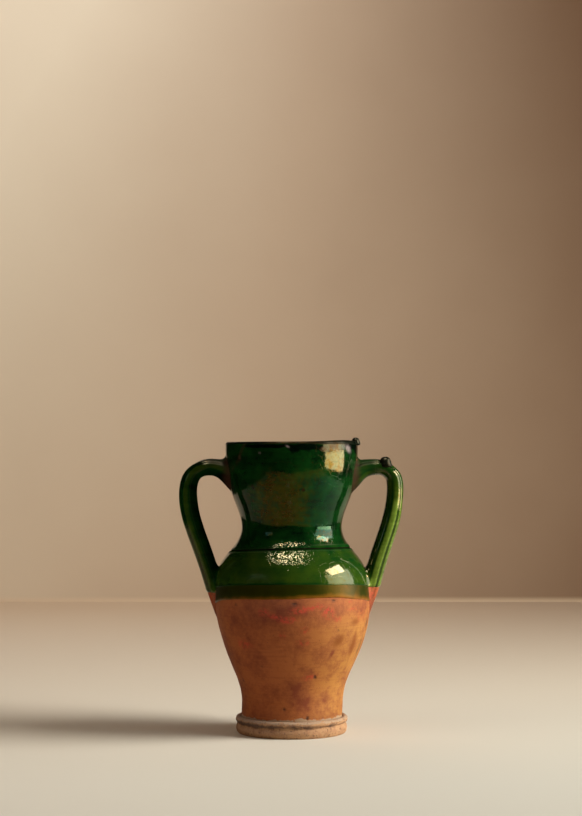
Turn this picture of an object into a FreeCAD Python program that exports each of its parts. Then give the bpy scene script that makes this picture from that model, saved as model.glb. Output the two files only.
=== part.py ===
"""Two-handled earthenware jar: thrown belly and neck on a moulded foot, pulled strap handles, dipped glaze.

The jar stands on the XY plane with its axis on +Z. Its handles lie along X. Lengths are in millimetres.
"""

import FreeCAD
import Part

import math
import os

from FreeCAD import Vector

# Thrown wall: the outside of the clay at its named places, each one's height counted from the one below
wall = 6.0
floor_thickness = 12.0
ankle_radius = 50.3
ankle_rise = 18.0
belly_radius = 77.4
belly_rise = 100.0
waist_radius = 49.3
waist_rise = 73.0
mouth_radius = 65.7
collar_rise = 80.0
lip_rise = 3.2
lip_overhang = 0.2

# The outline between two named places, as (share of the rise, share of the change in radius)
lower_wall_shares = [(0.18, 0.10), (0.34, 0.315), (0.50, 0.56), (0.66, 0.772), (0.82, 0.935)]
shoulder_shares = [(0.20, 0.025), (0.42, 0.145), (0.58, 0.375), (0.74, 0.715), (0.88, 0.935)]
collar_shares = [(0.10, 0.06), (0.24, 0.275), (0.38, 0.54), (0.50, 0.72), (0.64, 0.86), (0.82, 0.965)]

# Foot: the floor disc, with a low band, a groove and a roll round the edge that the wall stands in
foot_flare = 5.7
foot_band_inset = 0.6
foot_base_inset = 2.8
foot_groove_depth = 2.0
foot_rebate = 3.4
foot_band_share = 0.30
foot_groove_low_share = 0.62
foot_groove_high_share = 0.69
foot_roll_share = 0.845
floor_cove = 9.0

# Seam between belly and neck: how far it lies below the waist, its rabbet and the incised line
seam_drop = 21.6
seam_rabbet = 2.6
seam_line_depth = 0.9

# Glaze: thicknesses, and where it ends, from the middle of the belly upwards
coat = 0.6
band_coat = 0.4
lining = 0.5
coat_edge_rise = 17.0
band_width = 15.6
dip_tilt_deg = 4.4
left_handle_edge_drop = 7.4
right_handle_edge_drop = 1.0

# Handles: where the strap's middle line starts, reaches furthest out, and ends
handle_width = 24.4
crown_drop = 21.0
reach_drop = 47.4
tail_drop = 15.0
root_sink = 3.6
tail_sink = 9.1
left_handle_thickness = 17.0
left_handle_reach = 104.1
right_handle_thickness = 16.0
right_handle_reach = 103.6

# The strap's section: a rounded rectangle with a fine groove down each side and a flute on its back
groove_depth = 0.95
back_flute_depth = 0.7
groove_spread_deg = 8.0
groove_place_deg = 58.0
back_flute_spread_deg = 34.0
roundness = 2.3
section_samples = 48

# Stations of each handle, from the wall up to the reach and from there down to the tail, each one as
# share of the way out, share of the way up, lean of the thickness in degrees, shares of thickness and width
left_upper_shares = [
    (0.000, 0.700, 92, 1.79, 1.36),
    (0.138, 0.820, 92, 1.42, 1.22),
    (0.278, 0.937, 91, 1.08, 1.10),
    (0.430, 1.000, 87, 0.94, 1.03),
    (0.594, 0.985, 76, 0.905, 1.00),
    (0.727, 0.900, 60, 0.87, 0.99),
    (0.842, 0.763, 38, 0.91, 0.98),
    (0.913, 0.607, 23, 0.96, 0.98),
    (0.970, 0.348, 9, 1.00, 0.98),
    (1.000, 0.000, 0, 1.00, 0.98),
]
left_lower_shares = [
    (0.968, 0.854, -9, 0.98, 0.98),
    (0.818, 0.691, -17, 0.965, 0.98),
    (0.620, 0.528, -20, 0.953, 0.97),
    (0.433, 0.366, -20, 0.953, 0.96),
    (0.282, 0.228, -19, 0.976, 0.96),
    (0.135, 0.106, -18, 0.976, 0.94),
    (0.000, 0.000, -18, 0.953, 0.90),
]
right_upper_shares = [
    (0.000, 0.660, 92, 1.92, 1.36),
    (0.138, 0.780, 92, 1.53, 1.22),
    (0.278, 0.924, 91, 1.15, 1.10),
    (0.430, 0.996, 87, 0.96, 1.03),
    (0.601, 1.000, 78, 0.93, 1.00),
    (0.745, 0.928, 60, 0.89, 0.99),
    (0.879, 0.770, 38, 0.90, 0.98),
    (0.949, 0.618, 23, 0.95, 0.98),
    (0.988, 0.390, 9, 1.00, 0.98),
    (1.000, 0.080, 0, 0.995, 0.98),
]
right_lower_shares = [
    (0.948, 0.870, -9, 0.98, 0.98),
    (0.790, 0.695, -17, 0.97, 0.98),
    (0.600, 0.528, -20, 0.98, 0.97),
    (0.430, 0.366, -20, 1.00, 0.96),
    (0.291, 0.228, -19, 1.02, 0.96),
    (0.130, 0.106, -18, 1.03, 0.94),
    (0.000, 0.000, -18, 1.02, 0.90),
]

# Glaze beads that ran together in the kiln: one on the lip, one on the right handle's crown
lip_bead_radius = 3.4
lip_bead_shift = 1.8
lip_bead_offset = 8.0
lip_bead_rise = 4.0
crown_bead_length = 11.4
crown_bead_width = 10.0
crown_bead_height = 9.6
crown_bead_inset = 10.2
crown_bead_offset = 4.0
crown_bead_rise = 4.4

# One overrun for every cutting tool
overrun = 300.0

# Heights and radii that follow
ankle_height = floor_thickness + ankle_rise
belly_height = ankle_height + belly_rise
waist_height = belly_height + waist_rise
collar_height = waist_height + collar_rise
lip_height = collar_height + lip_rise
lip_middle = mouth_radius - wall / 2
lip_radius = wall / 2 + lip_overhang
seam_height = waist_height - seam_drop
coat_edge_height = belly_height + coat_edge_rise
band_edge_height = coat_edge_height - band_width
crown_height = lip_height - crown_drop
reach_height = lip_height - reach_drop
tail_height = belly_height - tail_drop
foot_radius = ankle_radius + foot_flare
foot_height = floor_thickness + foot_rebate

origin = Vector(0, 0, 0)
upward = Vector(0, 0, 1)


def at(radius, height):
    """A point of the half section, in the XZ plane."""
    return Vector(radius, 0, height)


def lathe(edges):
    """The solid that a closed outline sweeps round the jar's axis."""
    face = Part.Face(Part.Wire(edges))
    return face.revolve(origin, upward, 360)


def chain(points):
    """Straight edges through the points in turn."""
    return [Part.LineSegment(a, b).toShape() for a, b in zip(points, points[1:])]


def stretch(shares, low, high):
    """Points between two named places (radius, height) of the outline, by shares of the way."""
    return [at(low[0] + out * (high[0] - low[0]), low[1] + up * (high[1] - low[1])) for up, out in shares]


def outline_points():
    """The clay's outside from the ankle to the collar."""
    ankle = (ankle_radius, ankle_height)
    belly = (belly_radius, belly_height)
    waist = (waist_radius, waist_height)
    collar = (mouth_radius, collar_height)
    points = [at(*ankle)] + stretch(lower_wall_shares, ankle, belly)
    points += [at(*belly)] + stretch(shoulder_shares, belly, waist)
    points += [at(*waist)] + stretch(collar_shares, waist, collar)
    return points + [at(*collar)]


def smooth(points):
    """A curve through the points that starts and ends upright."""
    curve = Part.BSplineCurve()
    curve.interpolate(Points=points, InitialTangent=upward, FinalTangent=upward)
    return curve


def wall_curve(inset):
    """The outline moved inwards by inset, or outwards where inset is negative."""
    outside = smooth(outline_points())
    moved = []
    for point in outline_points():
        tangent = outside.tangent(outside.parameter(point))[0]
        moved.append(point + Vector(-tangent.z, 0, tangent.x) * inset)
    return smooth(moved)


def radius_at(height, inset=0.0):
    """How far the wall curve at that inset stands from the axis at a height."""
    level = Part.Line(at(0, height), at(overrun, height))
    return wall_curve(inset).intersect(level)[0].X


def filled(inset, bottom):
    """Everything inside the wall curve at that inset, from bottom up to the middle of the lip."""
    curve = wall_curve(inset)
    low = curve.value(curve.FirstParameter)
    high = curve.value(curve.LastParameter)
    edges = [curve.toShape()]
    edges += chain([high, at(high.x, lip_height), at(0, lip_height), at(0, bottom), at(low.x, bottom), low])
    return lathe(edges)


def lip_half(radius, side):
    """Half of the lip's roll, outside (side 1) or inside (side -1) the wall's middle."""
    low = at(lip_middle, lip_height - radius)
    high = at(lip_middle, lip_height + radius)
    round_edge = Part.Arc(low, at(lip_middle + side * radius, lip_height), high).toShape()
    return lathe([round_edge, Part.LineSegment(high, low).toShape()])


def lip_ring(radius):
    """The whole of the lip's roll."""
    return Part.makeTorus(lip_middle, radius, at(0, lip_height), upward)


def cavity(inset, bottom):
    """The room inside the wall, with the cove where the wall meets the floor."""
    room = filled(inset, bottom)
    corner = at(ankle_radius - inset, bottom)
    cove_top = corner + at(0, floor_cove)
    cove_foot = corner - at(floor_cove, 0)
    cove_depth = floor_cove * (1 - math.sqrt(0.5))
    curve = Part.Arc(cove_foot, corner + at(-cove_depth, cove_depth), cove_top).toShape()
    return room.cut(lathe([curve] + chain([cove_top, corner, cove_foot])))


def seam_line(depth):
    """The ring that a round tool takes away along the seam, measured into the coat's face."""
    return Part.makeTorus(radius_at(seam_height, -coat), depth, at(0, seam_height), upward)


def above_seam():
    """The space of the neck: above the seam, with the rabbet's step in the wall's middle."""
    step = radius_at(seam_height) - wall / 2
    top = seam_height + overrun
    rabbet = seam_height + seam_rabbet
    corners = [(step, seam_height), (overrun, seam_height), (overrun, top), (0, top), (0, rabbet)]
    corners += [(step, rabbet), (step, seam_height)]
    return lathe(chain([at(*corner) for corner in corners]))


def below(height, tilt_deg=0.0):
    """Everything under a plane at that height on the axis, its front edge raised by the tilt."""
    block = Part.makeBox(2 * overrun, 2 * overrun, overrun, Vector(-overrun, -overrun, -overrun))
    block.rotate(origin, Vector(1, 0, 0), -tilt_deg)
    block.translate(at(0, height))
    return block


def side_of_jar(side):
    """Everything in front of the handles (side -1) or behind them (side 1)."""
    front = min(side * overrun, 0)
    return Part.makeBox(2 * overrun, overrun, 2 * overrun, Vector(-overrun, front, -overrun))


def section(centre, lean_deg, half_thickness, half_width):
    """One closed section of a strap handle."""
    lean = math.radians(lean_deg)
    outward = Vector(math.cos(lean), 0, math.sin(lean))
    points = []
    for step in range(section_samples):
        turn = 360.0 * step / section_samples
        angle = math.radians(turn)
        from_back = min(turn, 360.0 - turn)
        cosine, sine = math.cos(angle), math.sin(angle)
        u = half_thickness * math.copysign(abs(cosine) ** (2 / roundness), cosine)
        v = half_width * math.copysign(abs(sine) ** (2 / roundness), sine)
        depth = groove_depth * math.exp(-(((from_back - groove_place_deg) / groove_spread_deg) ** 2))
        depth += back_flute_depth * math.exp(-((from_back / back_flute_spread_deg) ** 2))
        keep = 1 - depth / math.hypot(u, v)
        points.append(centre + outward * (u * keep) + Vector(0, v * keep, 0))
    curve = Part.BSplineCurve()
    curve.interpolate(Points=points, PeriodicFlag=True)
    return Part.Wire(curve.toShape())


def strap(upper_shares, lower_shares, thickness, reach, grow):
    """A handle's strap on the +X side before it is fitted to the wall, grown all round by grow."""
    root = radius_at(crown_height) - root_sink
    tail = radius_at(tail_height) - tail_sink
    spans = [(upper_shares, root, reach_height, crown_height), (lower_shares, tail, tail_height, reach_height)]
    wires = []
    for shares, inner, bottom, top in spans:
        for out, up, lean_deg, thick, wide in shares:
            centre = at(inner + out * (reach - inner), bottom + up * (top - bottom))
            half_thickness = thick * thickness / 2 + grow
            half_width = wide * handle_width / 2 + grow
            wires.append(section(centre, lean_deg, half_thickness, half_width))
    return Part.makeLoft(wires, True, False)


def right_strap(grow):
    """The right handle's strap."""
    return strap(right_upper_shares, right_lower_shares, right_handle_thickness, right_handle_reach, grow)


def left_strap(grow):
    """The left handle's strap, made on the +X side and mirrored."""
    shape = strap(left_upper_shares, left_lower_shares, left_handle_thickness, left_handle_reach, grow)
    return shape.mirror(origin, Vector(1, 0, 0))


def foot_disc():
    """The floor disc with its moulded edge."""
    groove_radius = foot_radius - foot_groove_depth
    band_start = at(foot_radius - foot_base_inset, 0)
    band_bulge = at(foot_radius - foot_band_inset, foot_band_share * foot_height)
    band_end = at(groove_radius, foot_groove_low_share * foot_height)
    roll_start = at(groove_radius, foot_groove_high_share * foot_height)
    roll_bulge = at(foot_radius, foot_roll_share * foot_height)
    roll_end = at(ankle_radius, foot_height)
    band = Part.Arc(band_start, band_bulge, band_end).toShape()
    roll = Part.Arc(roll_start, roll_bulge, roll_end).toShape()
    inside = [roll_end, at(ankle_radius, floor_thickness), at(0, floor_thickness), at(0, 0), band_start]
    return lathe([band] + chain([band_end, roll_start]) + [roll] + chain(inside))


def clay_core():
    """Everything inside the clay's outside, with the lip's roll and the incised line."""
    return filled(0, 0).fuse(lip_ring(lip_radius)).cut(seam_line(seam_line_depth + coat))


def clay_wall():
    """The whole thrown wall, lip included, with the incised line."""
    ring = filled(0, floor_thickness).cut(cavity(wall, floor_thickness))
    return ring.fuse(lip_ring(lip_radius)).cut(seam_line(seam_line_depth + coat))


def ball(centre, length, width, height):
    """A flattened ball of glaze."""
    shape = Part.makeSphere(height / 2)
    stretching = FreeCAD.Matrix()
    stretching.scale(length / height, width / height, 1)
    shape = shape.transformGeometry(stretching)
    shape.translate(centre)
    return shape


def without(shape, pieces):
    """What is left of the shape beside those pieces."""
    for piece in pieces:
        shape = shape.cut(piece)
    return shape


def green_coat(core, handles):
    """The green glaze on the outside of the wall, down to the edge of its dip, and over the lip."""
    skin = filled(-coat, 0).fuse(lip_half(lip_radius + coat, 1)).cut(core).cut(seam_line(seam_line_depth))
    return without(skin.cut(below(coat_edge_height, dip_tilt_deg)), handles)


def olive_band(core, handles, side):
    """The thin glaze under the green coat's edge, on one side of the handles."""
    skin = filled(-band_coat, 0).cut(core).common(below(coat_edge_height, dip_tilt_deg))
    skin = skin.cut(below(band_edge_height, dip_tilt_deg)).common(side_of_jar(side))
    return without(skin, handles)


def inner_lining(neck):
    """The glaze on the inside of the wall, on the floor and on the inner half of the lip."""
    skin = cavity(wall, floor_thickness).cut(cavity(wall + lining, floor_thickness + lining))
    return skin.fuse(lip_half(lip_radius + lining, -1)).cut(neck)


def lip_bead():
    """The bead of glaze on the right of the lip."""
    from_axis = lip_middle + lip_bead_shift
    along = math.sqrt(from_axis ** 2 - lip_bead_offset ** 2)
    size = 2 * lip_bead_radius
    return ball(Vector(along, -lip_bead_offset, lip_height + lip_bead_rise), size, size, size)


def crown_bead():
    """The bead of glaze on the right handle's crown."""
    centre = Vector(right_handle_reach - crown_bead_inset, -crown_bead_offset, crown_height + crown_bead_rise)
    return ball(centre, crown_bead_length, crown_bead_width, crown_bead_height)


def save(shape, name):
    """Writes one sub-part, a single solid, and prints its volume."""
    solids = shape.Solids
    solids[0].exportStep(os.path.join("parts", name + ".step"))
    print(name, "solids", len(solids), "valid", solids[0].isValid(), "volume", round(solids[0].Volume, 1))


def main():
    os.makedirs("parts", exist_ok=True)
    whole_wall = clay_wall()
    upper = above_seam()
    neck = whole_wall.common(upper)
    save(foot_disc(), "foot")
    save(whole_wall.cut(upper), "belly")
    save(neck, "neck")

    core = clay_core()
    coated_core = filled(-coat, 0)
    handles = []
    handle_coats = []
    for name, make, edge_drop in (
        ("left_handle", left_strap, left_handle_edge_drop),
        ("right_handle", right_strap, right_handle_edge_drop),
    ):
        handle = make(0).cut(core)
        sleeve = make(coat).cut(make(0)).cut(coated_core).cut(below(coat_edge_height - edge_drop))
        save(handle, name)
        save(sleeve, name + "_coat")
        handles.append(handle)
        handle_coats.append(sleeve)

    coat_shell = green_coat(core, handles)
    lining_shell = inner_lining(neck)
    save(coat_shell, "green_coat")
    save(olive_band(core, handles, -1), "olive_band_front")
    save(olive_band(core, handles, 1), "olive_band_back")
    save(lining_shell, "glaze_lining")
    save(without(lip_bead(), [coat_shell, lining_shell, neck]), "lip_bead")
    save(without(crown_bead(), handle_coats + handles), "crown_bead")


main()
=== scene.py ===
"""A two-handled earthenware jar on a pale table: bare terracotta below, dipped green lead glaze above.

Everything is in metres, in the jar's own frame: +Z is up its axis, the handles lie along X and -Y faces
the camera.
"""

import math

import bmesh
import bpy
import numpy as np
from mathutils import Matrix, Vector, noise


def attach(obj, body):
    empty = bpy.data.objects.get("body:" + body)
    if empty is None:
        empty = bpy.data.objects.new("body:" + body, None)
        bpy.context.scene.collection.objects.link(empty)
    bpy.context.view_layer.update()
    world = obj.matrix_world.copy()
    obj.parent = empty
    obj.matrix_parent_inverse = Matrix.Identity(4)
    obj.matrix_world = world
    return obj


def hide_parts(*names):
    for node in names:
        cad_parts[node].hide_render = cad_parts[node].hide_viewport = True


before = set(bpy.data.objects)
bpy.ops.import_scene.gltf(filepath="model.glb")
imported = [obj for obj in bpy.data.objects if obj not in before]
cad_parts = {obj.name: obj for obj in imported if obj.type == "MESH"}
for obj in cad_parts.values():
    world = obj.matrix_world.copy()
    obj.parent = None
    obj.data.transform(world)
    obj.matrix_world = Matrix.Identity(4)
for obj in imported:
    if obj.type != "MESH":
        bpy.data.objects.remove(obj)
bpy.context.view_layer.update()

bl_info = {
    "name": "Glazed two-handled jar",
    "version": (1, 0, 0),
    "blender": (4, 5, 0),
    "location": "View3D > Sidebar > Jar",
    "description": "Throws, joins, dips and lights an earthenware jar with two strap handles",
    "category": "Add Mesh",
}

MM = 0.001
FRONT = -90  # The side that faces the camera, in degrees round the axis from +X

# The outline between two named places of the wall, as (share of the rise, share of the change in radius)
LOWER_WALL_SHARES = [(0.18, 0.10), (0.34, 0.315), (0.50, 0.56), (0.66, 0.772), (0.82, 0.935)]
SHOULDER_SHARES = [(0.20, 0.025), (0.42, 0.145), (0.58, 0.375), (0.74, 0.715), (0.88, 0.935)]
COLLAR_SHARES = [(0.10, 0.06), (0.24, 0.275), (0.38, 0.54), (0.50, 0.72), (0.64, 0.86), (0.82, 0.965)]

# Stations of each handle, from the wall up to the reach and from there down to the tail, each one as
# share of the way out, share of the way up, lean of the thickness in degrees, shares of thickness and width
LEFT_UPPER_SHARES = [
    (0.000, 0.700, 92, 1.79, 1.36),
    (0.138, 0.820, 92, 1.42, 1.22),
    (0.278, 0.937, 91, 1.08, 1.10),
    (0.430, 1.000, 87, 0.94, 1.03),
    (0.594, 0.985, 76, 0.905, 1.00),
    (0.727, 0.900, 60, 0.87, 0.99),
    (0.842, 0.763, 38, 0.91, 0.98),
    (0.913, 0.607, 23, 0.96, 0.98),
    (0.970, 0.348, 9, 1.00, 0.98),
    (1.000, 0.000, 0, 1.00, 0.98),
]
LEFT_LOWER_SHARES = [
    (0.968, 0.854, -9, 0.98, 0.98),
    (0.818, 0.691, -17, 0.965, 0.98),
    (0.620, 0.528, -20, 0.953, 0.97),
    (0.433, 0.366, -20, 0.953, 0.96),
    (0.282, 0.228, -19, 0.976, 0.96),
    (0.135, 0.106, -18, 0.976, 0.94),
    (0.000, 0.000, -18, 0.953, 0.90),
]
RIGHT_UPPER_SHARES = [
    (0.000, 0.660, 92, 1.92, 1.36),
    (0.138, 0.780, 92, 1.53, 1.22),
    (0.278, 0.924, 91, 1.15, 1.10),
    (0.430, 0.996, 87, 0.96, 1.03),
    (0.601, 1.000, 78, 0.93, 1.00),
    (0.745, 0.928, 60, 0.89, 0.99),
    (0.879, 0.770, 38, 0.90, 0.98),
    (0.949, 0.618, 23, 0.95, 0.98),
    (0.988, 0.390, 9, 1.00, 0.98),
    (1.000, 0.080, 0, 0.995, 0.98),
]
RIGHT_LOWER_SHARES = [
    (0.948, 0.870, -9, 0.98, 0.98),
    (0.790, 0.695, -17, 0.97, 0.98),
    (0.600, 0.528, -20, 0.98, 0.97),
    (0.430, 0.366, -20, 1.00, 0.96),
    (0.291, 0.228, -19, 1.02, 0.96),
    (0.130, 0.106, -18, 1.03, 0.94),
    (0.000, 0.000, -18, 1.02, 0.90),
]

# Marks on the clay and the glaze, each as degrees round from the front, height, half width and half height
# in mm, slant (mm across for each mm up) and strength
RUBS = [
    (-21, 124.5, 6, 3.5, 0.0, 0.9),
    (-12, 120, 7, 3.0, -1.0, 0.8),
    (-3, 117, 8, 3.0, 0.5, 1.0),
    (6, 126.5, 8, 3.5, 1.0, 1.0),
    (16, 128.5, 9, 2.5, 1.5, 1.0),
    (27, 123.5, 6, 5.5, 0.0, 1.0),
    (35, 117, 4, 2.5, 0.0, 0.7),
    (21, 132.5, 3.5, 1.2, 0.5, 0.9),
    (47, 132.5, 2.2, 1.6, 0.0, 1.0),
    (50, 126, 7, 2.0, 1.0, 0.5),
    (-42, 92, 9, 4.0, 0.0, 0.6),
    (9, 95, 7, 2.5, 0.0, 0.6),
    (-7, 102, 3, 2.0, 0.0, 0.6),
    (10, 107, 4, 3.0, 0.0, 0.7),
    (17, 60, 6, 3.0, 1.0, 0.6),
    (62, 118, 10, 7.0, 0.0, 0.2),
]
PITS = [
    (1.8, 132.8, 2.6, 1.6, 0.0, 0.9),
    (31.3, 135.2, 2.0, 1.4, 0.3, 0.9),
    (23, 60.3, 1.5, 2.0, -0.3, 1.0),
    (-8.3, 28.6, 1.4, 1.5, 0.0, 0.9),
    (17.5, 19.8, 1.7, 2.0, 0.3, 1.0),
    (-44.6, 130.4, 1.6, 1.2, 0.0, 0.7),
    (36.6, 105.9, 0.9, 0.9, 0.0, 0.8),
    (75, 109.5, 4.0, 3.6, 0.2, 0.6),
    (71, 86, 3.4, 11.0, 0.0, 0.5),
    (-28, 70, 1.2, 0.9, 0.0, 0.6),
    (-60, 54, 1.0, 1.4, 0.0, 0.7),
]
STAINS = [
    (39, 96, 6.0, 6.0, 0.4, 1.0),
    (57, 90, 4.0, 12.0, 0.0, 1.0),
    (54, 113, 7.5, 3.6, 0.4, 0.9),
]
BLOTCHES = [
    (11, 34, 10, 9, 0.0, 0.6),
    (20, 62, 8, 7, 0.0, 0.6),
    (35, 84, 2.2, 4, 0.3, 0.8),
    (4, 52, 6, 10, 0.0, 0.4),
    (-26, 96, 16, 9, 0.0, 0.25),
    (-16, 123, 28, 10, 0.0, 0.3),
    (-50, 122, 18, 12, 0.0, 0.2),
    (40, 40, 5, 7, 0.0, 0.5),
    (60, 126, 12, 7, 0.0, 0.4),
    (140, 70, 30, 22, 0.0, 0.6),
    (-120, 100, 26, 18, 0.0, 0.6),
]
WORN_EDGES = [
    (38, 283.2, 8.5, 3.0, 0.0, 1.0),
    (29, 281.0, 4.5, 2.0, 0.3, 0.8),
    (-50, 272, 2.0, 2.6, 0.0, 0.5),
    (-63, 262, 2.6, 3.0, 0.6, 0.5),
]
# Painted highlights: pale lilac spots where a chip and a lump on the lip catch the light, and one pale
# bubble
PALE_SPOTS_AND_HIGHLIGHTS = [
    (-3.5, 283.2, 1.4, 1.3, -0.6, 0.9),
    (57, 281, 4.4, 3.8, -0.5, 0.8),
    (-28, 277, 1.3, 1.2, 0.0, 0.45),
]
# Black glaze: a band under the lip, partly pooled glaze and partly painted shade under the lip's roll, and
# two pits lower on the neck
BLACK_GLAZE_AND_LIP_SHADE = [
    (13, 282.6, 15, 2.3, 0.0, 0.75),
    (2, 280.4, 5, 2.6, 0.0, 0.35),
    (-20, 283.8, 24, 1.4, 0.0, 0.6),
    (36, 279.6, 11, 1.2, 0.4, 0.7),
    (62, 284, 9, 2.4, 0.0, 0.9),
    (76, 282, 8, 4.0, 0.0, 0.8),
    (-37.7, 243.5, 1.2, 1.5, 0.0, 1.0),
    (10.3, 241.8, 1.3, 1.5, 0.0, 1.0),
]

# Rounded lower edge of each shell of glaze, as (share of its thickness, mm above its end)
COAT_EDGE = [(-0.1, 0.0), (0.45, 0.0), (0.72, 0.2), (0.84, 0.9), (0.94, 1.8), (1.0, 2.8)]
BAND_EDGE = [(-0.5, 0.0), (0.2, -0.1), (0.6, 0.4), (0.9, 1.2), (1.0, 2.2)]
WAVER_SIZE = 0.02  # Length of an edge's waves, on a circle of WAVER_RADIUS
WAVER_RADIUS = 0.07

# Each strap: its side along X, and the share of its length that was dipped
STRAPS = {"left": (-1, 0.866), "right": (1, 0.835)}

# Each bead of glaze: its middle and its size along X, Y and Z, in mm
BEADS = {
    "lip_bead": ((63.8, -8.6, 288.4), (8.0, 8.6, 8.6)),
    "crown_bead": ((93.4, -7.6, 267.4), (11.6, 11.0, 12.6)),
}

# Mesh fineness: faces round the jar, faces round a strap, rings along it and faces round a bead
ROUND_STEPS = 288
STRAP_STEPS = 64
STRAP_RINGS = 200
BEAD_STEPS = 32

LIP_OUTER = 2.2 * MM  # Roundness of the lip's outer edge
LIP_INNER = 2.0 * MM  # Roundness of its inner edge
LIP_STAND = 0.6 * MM  # How far above the lip's middle these are drawn
LIP_OVERHANG = 0.4 * MM  # How far the lip hangs over the inside
BEDDED = 0.3 * MM  # How far a shell of glaze reaches into the clay under it
LINING = 0.5 * MM  # Thickness of the glaze inside
STEP_IN = 1.2 * MM  # How far belly and neck step in at the incised line, which leaves the groove room
SEAM_DEPTH = 0.8 * MM  # Depth of the incised line in the glaze
SEAM_STEP = 0.16 * MM  # Distance between the section's points across that line
SQUARENESS = 2.3  # Section of the straps: 2 is an ellipse, and more is squarer
FILLET = 5.5 * MM  # How far out the ends of a strap are smeared on to the wall
ROOT_SETBACK = 2 * MM  # How much further in a strap starts

# Soft borders on the green coat, each from and to a height above the table
REFLECTION_TINT_STARTS = (0.2005, 0.2025)  # Above it the neck's reflections get their painted tint
WAIST_REFLECTION_TINT = (0.1895, 0.1915)  # Above it a narrow band round the waist gets a painted slate tint in its reflections
LIP_WEAR = (0.2850, 0.2862)  # Above it the lip is worn dull
LIP_POOL = (0.2852, 0.2866)  # Above it the glaze lies thick
LIP_POOL_RIGHT = (0.2845, 0.2865)  # The same towards the right
LIP_STREAK = (0.262, 0.268)  # Above it runs a brown streak, up to the lip
ROOT_HEIGHT = 0.262  # Where the straps join the neck

GLAZE_IOR = 1.6  # The lead in the glaze bends light more than window glass does
LEVEL_STREAKS = (0.06, 0.06, 1.0)  # Draws a pattern out into level streaks, 17 times as long as high

# The paper sheets: the stretch across and the stretch along that each one covers, in metres
SWEEP = ((-0.70, 1.0), (-0.92, 1.65))
BEYOND = {
    "table_left": ((-3.5, -0.70), (-0.92, 1.65)),
    "table_right": ((1.0, 3.5), (-0.92, 1.65)),
    "table_front": ((-3.5, 3.5), (-4.0, -0.92)),
}
BACKDROP_RISE = 3.0  # How high the backdrop stands, in metres
BEHIND = 1.0  # A sheet that reaches further back than this turns up into the backdrop

# What the lamps face
JAR_MIDDLE = Vector((0, 0, 0.17))
BACKDROP_LEFT = Vector((-0.3, 1.65, 1.0))

# The lamps: degrees round from the front towards +X, degrees up, distance, width and height in metres,
# watts at a key of 1, tint, spread in degrees, what it faces, and the kind of ray that doesn't see it
LAMPS = {
    "window_panel": (80, 16, 1.8, 1.60, 0.90, 34, (0.92, 1.0, 0.98), 110, JAR_MIDDLE, None),
    "key_core": (80, 34, 1.7, 0.85, 0.38, 32, (1.0, 0.93, 0.84), 110, JAR_MIDDLE, None),
    "low_reflector": (80, -2.5, 1.6, 1.20, 0.26, 24, (1.0, 0.94, 0.66), 150, JAR_MIDDLE, None),
    "room_fill": (-66, 33, 2.2, 0.90, 0.60, 10, (1.0, 0.82, 0.64), 150, JAR_MIDDLE, "visible_glossy"),
    "left_fill": (-54, 21, 1.8, 0.48, 0.46, 2.2, (0.5, 0.8, 1.0), 150, JAR_MIDDLE, None),
    "top_strip": (-10, 74, 1.6, 0.80, 0.32, 90, (1.0, 0.97, 0.92), 150, JAR_MIDDLE, "visible_diffuse"),
    "backdrop_glow": (-12, 40, 1.2, 1.5, 0.3, 24, (1.0, 0.96, 0.94), 150, BACKDROP_LEFT, None),
}
CAMERA_ASIDE = -0.7 * MM  # The camera stands that far from the jar's middle plane


def length(name, description, millimetres):
    """A size that a user may change, given in millimetres."""
    return bpy.props.FloatProperty(
        name=name, description=description, default=millimetres * MM, unit="LENGTH"
    )


def angle(name, description, degrees):
    """An angle that a user may change, given in degrees."""
    return bpy.props.FloatProperty(
        name=name, description=description, default=math.radians(degrees), subtype="ANGLE", unit="ROTATION"
    )


def linear(code):
    """A colour written as an sRGB hex code, in the linear values that a shader takes."""
    parts = [int(code[i : i + 2], 16) / 255 for i in (1, 3, 5)]
    return [c / 12.92 if c <= 0.04045 else ((c + 0.055) / 1.055) ** 2.4 for c in parts]


def colour(name, description, code):
    """A colour that a user may change, given as an sRGB hex code."""
    return bpy.props.FloatVectorProperty(
        name=name, description=description, default=linear(code), subtype="COLOR", size=3, min=0, max=1
    )


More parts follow.
